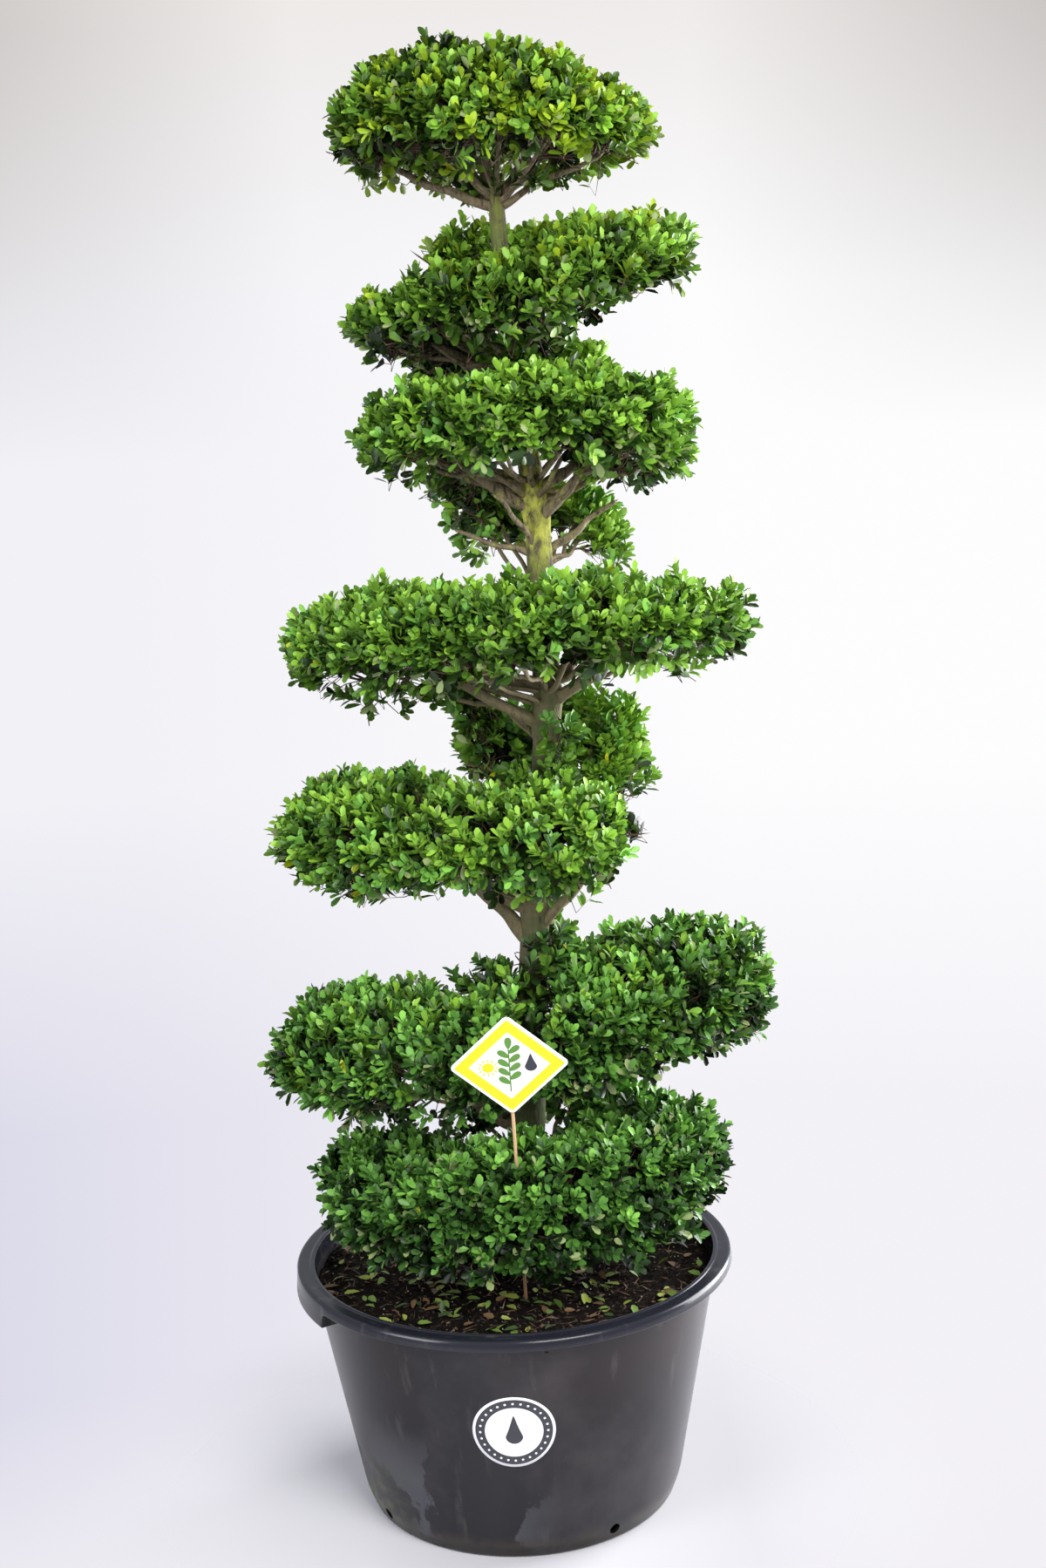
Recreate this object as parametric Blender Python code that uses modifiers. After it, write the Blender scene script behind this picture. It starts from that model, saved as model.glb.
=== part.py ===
"""Spiral topiary in a round nursery pot.

A clipped evergreen shrub. A bowed trunk stands in potting soil and carries a ribbon of
foliage that climbs round it, anticlockwise seen from above, from a skirt in the pot through
five tiers to a domed cap. Metres, +Z up, origin at the centre of the pot's flat underside.
-Y is the front, and -X the left.
"""

import math
import random

import bmesh
import bpy
import numpy as np
from mathutils import Matrix, Vector

NAME = "spiral_topiary"
SEED = 21
GAP = 0.0003  # clearance between neighbouring solids
MERGE = 0.0001

# Pot: a moulded tub with a rolled rim, two grips under the rim and holes low in the wall.
POT_HEIGHT = 0.4005
POT_FOOT_RADIUS = 0.2445
POT_HEEL_RADIUS = 0.2580
POT_HEEL_HEIGHT = 0.030
POT_SHOULDER_RADIUS = 0.3240
POT_WALL = 0.005
RIM_RADIUS = 0.350
RIM_INNER_RADIUS = 0.3195
RIM_DEPTH = 0.018
RIM_ROUND = 0.006
GRIP_ARC = math.radians(32)
GRIP_ANGLES = (math.radians(197), math.radians(17))
GRIP_DEPTH = 0.042
GRIP_WALL_CLEARANCE = 0.0015
DRAIN_RADIUS = 0.009
DRAIN_HEIGHT = 0.022
DRAIN_ANGLES = tuple(math.radians(-57 + 90 * i) for i in range(4))
POT_STEPS = 40

# Soil fills the pot to a hand's width below the rim.
SOIL_LEVEL = 0.370
SOIL_EDGE_DROP = 0.004
SOIL_FLAT_RADIUS = 0.12

# Trunk: height above the floor, sideways place of its centre, and radius there.
TRUNK_LINE = (
    (SOIL_LEVEL + GAP, 0.014, 0.042),
    (0.395, 0.017, 0.034),
    (0.450, 0.022, 0.028),
    (0.660, 0.038, 0.0245),
    (0.930, 0.056, 0.0220),
    (1.260, 0.092, 0.0215),
    (1.550, 0.088, 0.0190),
    (1.815, 0.062, 0.0150),
    (1.965, 0.048, 0.0125),
    (2.050, 0.046, 0.0110),
)
TRUNK_STATIONS = 17
TRUNK_CROWDING = 1.35  # above 1 the stations crowd towards the flare
TRUNK_SMOOTHING = 0.06
TRUNK_BEVEL_RESOLUTION = 3
FLARE_STATIONS = 5  # of the stations, those in the root flare

# Tiers of the ribbon, bottom to top. Each row has its left, front, right and back value:
# the middle height, the depth from underside to top, and the reach from the trunk's centre.
# Behind, a tier climbs to its back height between two turns, in degrees past its right.
TIERS = {
    "skirt": {
        "middle": (0.522, 0.535, 0.545, 0.640),
        "depth": (0.195, 0.250, 0.235, 0.170),
        "reach": (0.343, 0.273, 0.330, 0.248),
        "climb": (22, 50),
    },
    "tier_2": {
        "middle": (0.748, 0.778, 0.842, 1.035),
        "depth": (0.228, 0.205, 0.225, 0.115),
        "reach": (0.428, 0.256, 0.384, 0.138),
        "climb": (64, 90),
    },
    "tier_3": {
        "middle": (1.100, 1.100, 1.085, 1.200),
        "depth": (0.210, 0.180, 0.145, 0.175),
        "reach": (0.422, 0.298, 0.136, 0.204),
        "climb": (8, 38),
    },
    "tier_4": {
        "middle": (1.380, 1.420, 1.398, 1.555),
        "depth": (0.195, 0.175, 0.154, 0.140),
        "reach": (0.406, 0.338, 0.316, 0.198),
        "climb": (22, 50),
    },
    "tier_5": {
        "middle": (1.695, 1.718, 1.683, 1.780),
        "depth": (0.160, 0.170, 0.182, 0.130),
        "reach": (0.260, 0.268, 0.265, 0.218),
        "climb": (22, 50),
    },
    "tier_6": {
        "middle": (1.852, 1.876, 1.948, 1.962),
        "depth": (0.110, 0.155, 0.150, 0.110),
        "reach": (0.262, 0.258, 0.298, 0.218),
        "climb": (22, 50),
    },
}
RIBBON_INNER_RADIUS = 0.065
DRAW_IN = (0, 29)  # degrees past its right over which a tier draws in to its back reach
CLIMB_ON = (41, 68)  # degrees past its back over which it climbs to the next tier's left
SPREAD_OUT = (61, 90)  # and over which it widens again
RIBBON_START = 158  # degrees turned, where left is 180 and each tier adds 360
RIBBON_END = 180 + 5 * 360 + 310
NOSE_ARC = 26  # degrees over which the two ends of the ribbon round off
NOSE_LEAST = 0.35  # share of its section that is left at the very end
SECTION_POWER = 2.25  # 2 is an ellipse, higher is boxier
SECTION_FULLNESS = 1.05  # girth of such a section over that of an ellipse
PART_SPANS = {"left": (-40, 86), "right": (86, 205), "back": (205, 320)}
BOUGH_OFFSETS = {"left": 22, "right": 148, "back": 265}
SEAM = 0.006  # each mass stops this far short of the plane it shares with the next

# Cap: a dome on the trunk's tip, flatter below its widest than above.
CAP_CENTRE = (0.046, 0.0, 2.130)
CAP_REACH = 0.247
CAP_RISE = 0.126
CAP_SAG = 0.090
CAP_SPRAYS = 18
CAP_LEADER_SHARE = 0.45  # of its reach, where the cap's twigs branch
CAP_BOUGHS = {"left": (184, 0.0105, 0.115), "right": (-12, 0.0075, 0.095)}  # turn, radius, reach
CAP_BOUGH_TAPER = 0.65
CAP_BOUGH_ROOT = 2.018
CAP_BOUGH_RISE = 0.022

# Foliage: leaves stand out of a core, in sprays at the tips of twigs.
STAND_OUT = 0.024
CORE_STEP = 22.5  # degrees between rings of a core, so that rings meet every quarter turn
CORE_SIDES = 10
CORE_LEAST = 0.012  # least half width of a core
SPRAY_STEP = 0.235  # spacing of the sprays along and around a mass
SPRAY_JITTER = 0.2  # of that spacing
TWIG_ROOT_RADIUS = 0.006
TWIG_TIP_RADIUS = 0.0035
TWIG_OUT = 0.009
LEAVES_A_SPRAY = 3
LEAF_LENGTH = 0.066
LEAF_WIDTH = 0.036
LEAF_THICKNESS = 0.0055
LEAF_WIDEST = 0.58  # share of its length at which it is widest
LEAF_SUNK = 0.017
LEAF_RING = 0.018  # how far from their twig the lower leaves of a spray stand
LEAF_SPREAD = (48, 62)  # degrees off the twig
LIMB_CLEARANCE = 0.004

# Boughs leave the trunk a little below their tier.
BOUGH_ROOT_RADIUS = 0.0125
BOUGH_TIP_RADIUS = 0.0070
BOUGH_DROP = 0.045
BOUGH_DIP = 0.012  # of the elbow, below the mass
BOUGH_ELBOW = 0.36  # of the way out to the middle of the mass
BOUGH_BITE = 0.004  # how far the tip reaches into the room of its mass
BOUGH_LEAST_HEIGHT = 0.020  # of a root above the soil
BOUGH_STATIONS = 5
BOUGH_BEVEL_RESOLUTION = 1

# Label: a square board on its corner, fixed to a stick that leans out of the soil.
STICK_FOOT = (0.0175, -0.1405)
STICK_RADIUS = 0.0025
STICK_LEAN = math.radians(18.5)
STICK_TURN = -0.016  # sideways slope
STICK_LENGTH = 0.535
BOARD_SIDE = 0.124
BOARD_CORNER = 0.008
BOARD_THICKNESS = 0.002
BOARD_PLACE = 0.4495  # along the stick, from its foot to the board's centre


def clear_scene():
    for item in list(bpy.data.objects):
        bpy.data.objects.remove(item, do_unlink=True)


def new_collection(name):
    collection = bpy.data.collections.new(name)
    bpy.context.scene.collection.children.link(collection)
    return collection


def material(name, colour, roughness, metallic=0.0):
    finish = bpy.data.materials.new(name)
    finish.use_nodes = True
    shader = finish.node_tree.nodes["Principled BSDF"]
    shader.inputs["Base Color"].default_value = (*colour, 1.0)
    shader.inputs["Roughness"].default_value = roughness
    shader.inputs["Metallic"].default_value = metallic
    return finish


def place(name, mesh, finish, collection):
    item = bpy.data.objects.new(name, mesh)
    mesh.materials.clear()
    mesh.materials.append(finish)
    collection.objects.link(item)
    return item


def evaluated_mesh(item):
    """The object's mesh with its modifiers, in world space; the object is removed."""
    bpy.context.view_layer.update()
    graph = bpy.context.evaluated_depsgraph_get()
    mesh = bpy.data.meshes.new_from_object(item.evaluated_get(graph))
    mesh.transform(item.matrix_world)
    name = item.name
    bpy.data.objects.remove(item, do_unlink=True)
    bm = bmesh.new()
    bm.from_mesh(mesh)
    bmesh.ops.remove_doubles(bm, verts=bm.verts, dist=1e-6)
    bm.to_mesh(mesh)
    bm.free()
    mesh.name = name
    return mesh


def boolean(item, operation, operand, solver="EXACT"):
    cut = item.modifiers.new(operation.lower(), "BOOLEAN")
    cut.operation = operation
    cut.solver = solver
    if isinstance(operand, bpy.types.Collection):
        cut.operand_type = "COLLECTION"
        cut.collection = operand
    else:
        cut.object = operand


def smooth(mesh, angle=40):
    mesh.shade_smooth()
    mesh.set_sharp_from_angle(angle=math.radians(angle))


def turned(name, profile, finish, collection):
    """A profile of (radius, height) points turned about Z. It runs down the outer side."""
    mesh = bpy.data.meshes.new(name)
    points = [(radius, 0.0, height) for radius, height in profile]
    mesh.from_pydata(points, [(i, i + 1) for i in range(len(points) - 1)], [])
    item = place(name, mesh, finish, collection)
    screw = item.modifiers.new("turn", "SCREW")
    screw.steps = POT_STEPS
    screw.render_steps = POT_STEPS
    screw.use_merge_vertices = True
    screw.merge_threshold = MERGE
    return item


def as_cutter(item):
    item.hide_render = True
    item.display_type = "WIRE"
    return item


# ---------------------------------------------------------------- pot and soil

def wall_radius(height):
    """Outer radius of the pot's straight wall."""
    share = (height - POT_HEEL_HEIGHT) / (POT_HEIGHT - RIM_DEPTH - POT_HEEL_HEIGHT)
    return POT_HEEL_RADIUS + share * (POT_SHOULDER_RADIUS - POT_HEEL_RADIUS)


def grip(angle, finish, collection):
    """A block under the rim, an arc in plan."""
    inner = POT_SHOULDER_RADIUS - POT_WALL + GRIP_WALL_CLEARANCE
    steps = 5
    angles = [angle + GRIP_ARC * (i / steps - 0.5) for i in range(steps + 1)]
    outline = [(RIM_RADIUS * math.cos(a), RIM_RADIUS * math.sin(a)) for a in angles]
    outline += [(inner * math.cos(a), inner * math.sin(a)) for a in reversed(angles)]
    curve = bpy.data.curves.new("grip", "CURVE")
    curve.dimensions = "2D"
    curve.fill_mode = "BOTH"
    curve.extrude = (GRIP_DEPTH - RIM_DEPTH / 2) / 2
    spline = curve.splines.new("POLY")
    spline.points.add(len(outline) - 1)
    for point, (x, y) in zip(spline.points, outline):
        point.co = (x, y, 0.0, 1.0)
    spline.use_cyclic_u = True
    item = bpy.data.objects.new("grip", curve)
    item.location.z = POT_HEIGHT - RIM_DEPTH / 2 - curve.extrude
    collection.objects.link(item)
    return as_cutter(place("grip", evaluated_mesh(item), finish, collection))


def drain(angle, finish, collection):
    """A short bar through the wall, which leaves a round hole."""
    bm = bmesh.new()
    bmesh.ops.create_cone(
        bm, cap_ends=True, segments=8, radius1=DRAIN_RADIUS, radius2=DRAIN_RADIUS,
        depth=8 * POT_WALL,
    )
    mesh = bpy.data.meshes.new("drain")
    bm.to_mesh(mesh)
    bm.free()
    outward = Matrix.Rotation(math.pi / 2, 4, "Y")
    radius = wall_radius(DRAIN_HEIGHT) - POT_WALL / 2
    mesh.transform(Matrix.Translation((radius, 0, DRAIN_HEIGHT)) @ outward)
    mesh.transform(Matrix.Rotation(angle, 4, "Z"))
    return as_cutter(place("drain", mesh, finish, collection))


def make_pot(parts, cutters):
    finish = material("charcoal_plastic", (0.020, 0.020, 0.023), 0.42)
    under_rim = POT_HEIGHT - RIM_DEPTH
    profile = (
        (0.0, POT_WALL),
        (POT_FOOT_RADIUS - POT_WALL, POT_WALL),
        (wall_radius(POT_HEEL_HEIGHT) - POT_WALL, POT_HEEL_HEIGHT),
        (POT_SHOULDER_RADIUS - POT_WALL, under_rim),
        (RIM_INNER_RADIUS, POT_HEIGHT - RIM_ROUND / 2),
        (RIM_INNER_RADIUS + RIM_ROUND, POT_HEIGHT),
        (RIM_RADIUS - RIM_ROUND, POT_HEIGHT),
        (RIM_RADIUS, POT_HEIGHT - RIM_ROUND),
        (RIM_RADIUS, under_rim + RIM_ROUND / 2),
        (RIM_RADIUS - RIM_ROUND / 2, under_rim),
        (POT_SHOULDER_RADIUS, under_rim),
        (POT_HEEL_RADIUS, POT_HEEL_HEIGHT),
        (POT_FOOT_RADIUS + RIM_ROUND / 2, RIM_ROUND / 2),
        (POT_FOOT_RADIUS, 0.0),
        (0.0, 0.0),
    )
    pot = turned("pot", profile, finish, parts)
    pot = place("pot", evaluated_mesh(pot), finish, parts)
    for angle in GRIP_ANGLES:
        boolean(pot, "UNION", grip(angle, finish, cutters))
    for angle in DRAIN_ANGLES:
        boolean(pot, "DIFFERENCE", drain(angle, finish, cutters))
    mesh = evaluated_mesh(pot)
    smooth(mesh)
    place("pot", mesh, finish, parts)


def make_soil(parts):
    finish = material("potting_soil", (0.022, 0.015, 0.010), 0.95)
    inner_heel = wall_radius(POT_HEEL_HEIGHT) - POT_WALL - 2 * GAP
    edge_height = SOIL_LEVEL - SOIL_EDGE_DROP
    profile = (
        (0.0, SOIL_LEVEL),
        (SOIL_FLAT_RADIUS, SOIL_LEVEL),
        (wall_radius(edge_height) - POT_WALL - 2 * GAP, edge_height),
        (inner_heel, POT_HEEL_HEIGHT),
        (POT_FOOT_RADIUS - POT_WALL - 2 * GAP, POT_WALL + GAP),
        (0.0, POT_WALL + GAP),
    )
    soil = turned("soil", profile, finish, parts)
    mesh = evaluated_mesh(soil)
    smooth(mesh)
    place("soil", mesh, finish, parts)


# ---------------------------------------------------------------- trunk and boughs

def trunk_at(height):
    """Centre (x, y, z) and radius of the trunk at a height."""
    heights, places, radii = zip(*TRUNK_LINE)
    x = float(np.interp(height, heights, places))
    return Vector((x, 0.0, height)), float(np.interp(height, heights, radii))


def trunk_path():
    """Stations up the trunk: dense at the flare, then even, smoothed over their neighbours."""
    low, high = TRUNK_LINE[0][0], TRUNK_LINE[-1][0]
    shares = [(i / (TRUNK_STATIONS - 1)) ** TRUNK_CROWDING for i in range(TRUNK_STATIONS)]
    heights = [low + share * (high - low) for share in shares]
    points, radii = [], []
    for height in heights:
        reach = min(TRUNK_SMOOTHING, height - low, high - height)
        samples = [trunk_at(height + reach * k / 2) for k in (-2, -1, 0, 1, 2)]
        x = sum(point.x for point, _ in samples) / len(samples)
        points.append(Vector((x, 0.0, height)))
        radii.append(trunk_at(height)[1])
    points[1].x = points[0].x  # upright at its ends, so that both are cut level
    points[-2].x = points[-1].x
    return points, radii


def limb_mesh(name, points, radii, resolution):
    """A round tapering limb along a path, with flat ends."""
    curve = bpy.data.curves.new(name, "CURVE")
    curve.dimensions = "3D"
    curve.bevel_depth = 1.0
    curve.bevel_resolution = resolution
    curve.use_fill_caps = True
    spline = curve.splines.new("POLY")
    spline.points.add(len(points) - 1)
    for station, point, radius in zip(spline.points, points, radii):
        station.co = (*point, 1.0)
        station.radius = radius
    item = bpy.data.objects.new(name, curve)
    bpy.context.scene.collection.objects.link(item)
    return evaluated_mesh(item)


def bezier(start, control, end, count):
    """Points on a quadratic curve."""
    shares = [i / (count - 1) for i in range(count)]
    return [
        start * (1 - t) ** 2 + control * 2 * t * (1 - t) + end * t ** 2
        for t in shares
    ]


# ---------------------------------------------------------------- ribbon

def ribbon(turn):
    """The ribbon's section at a turn in degrees: centre radius, half width, middle, half depth."""
    quarter = (turn - 180) / 90
    rows = list(TIERS.values())
    stations = {key: [v for row in rows for v in row[key]] for key in ("middle", "depth", "reach")}
    last = len(stations["middle"]) - 1
    step = min(max(int(math.floor(quarter)), 0), last - 1)
    share = min(max(quarter - step, 0.0), 1.0)
    climb, tuck = share, share
    if step % 4 in (2, 3):
        windows = (rows[step // 4]["climb"], DRAW_IN) if step % 4 == 2 else (CLIMB_ON, SPREAD_OUT)
        climb, tuck = (
            min(max((90 * share - start) / (end - start), 0.0), 1.0) for start, end in windows
        )
    middle, depth, reach = (
        values[step] + part * part * (3 - 2 * part) * (values[step + 1] - values[step])
        for values, part in zip(stations.values(), (climb, tuck, tuck))
    )
    return (reach + RIBBON_INNER_RADIUS) / 2, (reach - RIBBON_INNER_RADIUS) / 2, middle, depth / 2


def nose(turn):
    """1 along the ribbon, falling along a quarter circle to the least share at its two ends."""
    share = min((turn - RIBBON_START) / NOSE_ARC, (RIBBON_END - turn) / NOSE_ARC, 1.0)
    return NOSE_LEAST + (1 - NOSE_LEAST) * math.sqrt(max(0.0, 1 - (1 - max(share, 0.0)) ** 2))


def section_centre(turn):
    """The middle of the ribbon's section at a turn."""
    radius, _, middle, _ = ribbon(turn)
    azimuth = math.radians(turn)
    centre = trunk_at(middle)[0]
    return centre + Vector((math.cos(azimuth), math.sin(azimuth), 0.0)) * radius


def section_point(turn, around, shrink):
    """A point on the section of the ribbon, shrunk on all sides, and the outward direction."""
    radius, half_width, middle, half_depth = ribbon(turn)
    half_width = max(half_width * nose(turn) - shrink, CORE_LEAST)
    half_depth = max(half_depth * nose(turn) - shrink, CORE_LEAST)
    azimuth = math.radians(turn)
    outward = Vector((math.cos(azimuth), math.sin(azimuth), 0.0))
    c, s = math.cos(around), math.sin(around)
    power = 2 / SECTION_POWER
    across = half_width * math.copysign(abs(c) ** power, c)
    up = half_depth * math.copysign(abs(s) ** power, s)
    centre = trunk_at(middle)[0]
    point = Vector((centre.x, 0.0, middle + up)) + outward * (radius + across)
    normal = outward * (c / half_width) + Vector((0.0, 0.0, s / half_depth))
    return point, normal.normalized()


class RibbonSpace:
    """The room that one mass of the ribbon has, between two planes through the trunk."""

    def __init__(self, start, end):
        self.start = start
        self.end = end

    def holds(self, point):
        """Whether a point is inside the clipped outline and short of both seams."""
        for turn, sign in ((self.start, 1), (self.end, -1)):
            azimuth = math.radians(turn)
            along = Vector((-math.sin(azimuth), math.cos(azimuth), 0.0))
            centre = trunk_at(ribbon(turn)[2])[0]
            if sign * (point - centre).dot(along) < SEAM:
                return False
        middle_turn = (self.start + self.end) / 2
        centre = trunk_at(ribbon(middle_turn)[2])[0]
        azimuth = math.degrees(math.atan2(point.y, point.x - centre.x))
        turn = azimuth + 360 * round((middle_turn - azimuth) / 360)
        radius, half_width, middle, half_depth = ribbon(turn)
        distance = math.hypot(point.x - centre.x, point.y)
        across = abs(distance - radius) / (half_width * nose(turn))
        up = abs(point.z - middle) / (half_depth * nose(turn))
        return across ** SECTION_POWER + up ** SECTION_POWER <= 1.0

    def core(self):
        """A closed loft of shrunk sections, with flat ends on the seams."""
        first = math.ceil(self.start / CORE_STEP + 0.4)
        last = math.floor(self.end / CORE_STEP - 0.4)
        turns = [self.start, *(CORE_STEP * i for i in range(first, last + 1)), self.end]
        bm = bmesh.new()
        rings = []
        for turn in turns:
            azimuth = math.radians(turn)
            along = Vector((-math.sin(azimuth), math.cos(azimuth), 0.0))
            inward = SEAM * ((turn == self.start) - (turn == self.end))
            ring = []
            for k in range(CORE_SIDES):
                point, _ = section_point(turn, 2 * math.pi * k / CORE_SIDES, STAND_OUT)
                ring.append(bm.verts.new(point + along * inward))
            rings.append(ring)
        for near, far in zip(rings, rings[1:]):
            for k in range(CORE_SIDES):
                after = (k + 1) % CORE_SIDES
                bm.faces.new((near[k], near[after], far[after], far[k]))
        bm.faces.new(list(reversed(rings[0])))
        bm.faces.new(rings[-1])
        bmesh.ops.recalc_face_normals(bm, faces=bm.faces)
        return bm

    def sprays(self, rng):
        """Seeded places on the core: leader point, foot on the surface, outward direction."""
        radius, half_width, _, half_depth = ribbon((self.start + self.end) / 2)
        arc = math.radians(self.end - self.start) * (radius + half_width * 0.5)
        girth = math.pi * (half_width + half_depth) * SECTION_FULLNESS
        along_count = max(3, round(arc / SPRAY_STEP))
        round_count = max(3, round(girth / SPRAY_STEP))
        found = []
        for i in range(along_count):
            for k in range(round_count):
                share = (i + 0.5 + rng.uniform(-SPRAY_JITTER, SPRAY_JITTER)) / along_count
                turn = self.start + (self.end - self.start) * share
                stagger = 0.5 * (i % 2) + rng.uniform(-SPRAY_JITTER, SPRAY_JITTER)
                around = 2 * math.pi * (k + stagger) / round_count
                foot, normal = section_point(turn, around, STAND_OUT)
                found.append((section_centre(turn), foot, normal))
        for quarter in range(math.ceil(self.start / 90), math.floor(self.end / 90) + 1):
            turn = 90 * quarter + rng.uniform(-2, 2)
            foot, normal = section_point(turn, 0.0, STAND_OUT)  # the outermost of each quarter
            found.append((section_centre(turn), foot, normal))
        return found


def boxier(way):
    """A point of the unit sphere moved out to the ribbon's kind of section, turned about Z."""
    flat = math.hypot(way.x, way.y)
    spread = flat ** (2 / SECTION_POWER - 1) if flat > 1e-6 else 0.0
    rise = math.copysign(abs(way.z) ** (2 / SECTION_POWER), way.z)
    return Vector((way.x * spread, way.y * spread, rise))


class CapSpace:
    """The room of the cap, a dome over a flatter underside."""

    def holds(self, point):
        x, y, z = point - Vector(CAP_CENTRE)
        across, up = math.hypot(x, y) / CAP_REACH, abs(z) / (CAP_RISE if z > 0 else CAP_SAG)
        return across ** SECTION_POWER + up ** SECTION_POWER <= 1.0

    def core(self):
        bm = bmesh.new()
        across = CAP_REACH - STAND_OUT
        bmesh.ops.create_uvsphere(bm, u_segments=16, v_segments=8, radius=1.0)
        for vert in bm.verts:
            boxy = boxier(vert.co)
            up = (CAP_RISE if boxy.z > 0 else CAP_SAG) - STAND_OUT
            vert.co = Vector(CAP_CENTRE) + Vector((boxy.x * across, boxy.y * across, boxy.z * up))
        return bm

    def sprays(self, rng):
        across = CAP_REACH - STAND_OUT
        found = []
        for i in range(CAP_SPRAYS):
            height = 1 - 2 * (i + 0.5) / CAP_SPRAYS
            azimuth = i * math.pi * (3 - math.sqrt(5)) + rng.uniform(-0.15, 0.15)
            flat = math.sqrt(1 - height * height)
            way = Vector((flat * math.cos(azimuth), flat * math.sin(azimuth), height))
            up = (CAP_RISE if height > 0 else CAP_SAG) - STAND_OUT
            centre = Vector(CAP_CENTRE)
            boxy = boxier(way)
            foot = centre + Vector((boxy.x * across, boxy.y * across, boxy.z * up))
            normal = Vector((way.x / across, way.y / across, way.z / up)).normalized()
            leader = centre + Vector((way.x, way.y, 0.0)) * across * CAP_LEADER_SHARE
            found.append((leader, foot, normal))
        return found


# ---------------------------------------------------------------- twigs, leaves and masses

def aim(direction, twist=0.0):
    """A rotation that takes +Z to a direction."""
    turn = Vector((0.0, 0.0, 1.0)).rotation_difference(direction)
    return turn.to_matrix().to_4x4() @ Matrix.Rotation(twist, 4, "Z")


def rod(start, end, root_radius, tip_radius, sides, finish, collection):
    """A straight tapering stick."""
    bm = bmesh.new()
    bmesh.ops.create_cone(
        bm, cap_ends=True, segments=sides, radius1=root_radius, radius2=tip_radius,
        depth=(end - start).length,
        matrix=Matrix.Translation((start + end) / 2) @ aim((end - start).normalized()),
    )
    mesh = bpy.data.meshes.new("rod")
    bm.to_mesh(mesh)
    bm.free()
    return place("rod", mesh, finish, collection)


def leaf_shape():
    """A keeled leaf of six faces along +Z, widest past its middle: a drawn-out bipyramid."""
    bm = bmesh.new()
    bmesh.ops.create_uvsphere(bm, u_segments=3, v_segments=2, radius=1.0)
    for vert in bm.verts:
        keel, side, end = vert.co
        along = (0.0, LEAF_WIDEST, 1.0)[round(end) + 1]
        vert.co = (
            side * LEAF_WIDTH / math.sqrt(3),
            (1 - keel) * LEAF_THICKNESS / 1.5 if round(end) == 0 else LEAF_THICKNESS / 2,
            along * LEAF_LENGTH,
        )
    bmesh.ops.recalc_face_normals(bm, faces=bm.faces)
    return bm


def leaf_points(root, direction, twist):
    """The corners of a leaf in its place: its root, its tip and its three sides."""
    bm = leaf_shape()
    matrix = Matrix.Translation(root) @ aim(direction, twist)
    corners = [matrix @ vert.co for vert in sorted(bm.verts, key=lambda vert: vert.co.z)]
    bm.free()
    return corners


def leaf(root, direction, twist, finish, collection):
    bm = leaf_shape()
    bm.transform(Matrix.Translation(root) @ aim(direction, twist))
    mesh = bpy.data.meshes.new("leaf")
    bm.to_mesh(mesh)
    bm.free()
    return place("leaf", mesh, finish, collection)


def clear_of(limbs, points):
    """Whether points keep off every limb, each a path with its radii."""
    tests = np.array(points)
    for path, radii in limbs:
        starts, ends = np.array(path[:-1]), np.array(path[1:])
        spans = ends - starts
        offsets = tests[:, None, :] - starts[None]
        share = np.clip((offsets * spans).sum(-1) / (spans * spans).sum(-1), 0.0, 1.0)
        nearest = starts + share[..., None] * spans
        distance = np.linalg.norm(tests[:, None, :] - nearest, axis=-1)
        if (distance - max(radii)).min() < LIMB_CLEARANCE:
            return False
    return True


def largest_body(mesh):
    """Drops loose scraps and the walls of sealed hollows, which fills them."""
    bm = bmesh.new()
    bm.from_mesh(mesh)
    bmesh.ops.remove_doubles(bm, verts=bm.verts, dist=2e-6)
    bmesh.ops.dissolve_degenerate(bm, edges=bm.edges, dist=2e-6)
    left = set(bm.faces)
    bodies = []
    while left:
        body, edge = set(), [left.pop()]
        while edge:
            face = edge.pop()
            body.add(face)
            for side in face.edges:
                for other in side.link_faces:
                    if other in left:
                        left.discard(other)
                        edge.append(other)
        bodies.append(body)
    keep = max(bodies, key=len)
    bmesh.ops.delete(bm, geom=[f for f in bm.faces if f not in keep], context="FACES")
    bmesh.ops.triangulate(bm, faces=bm.faces)
    bm.to_mesh(mesh)
    bm.free()


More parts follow.
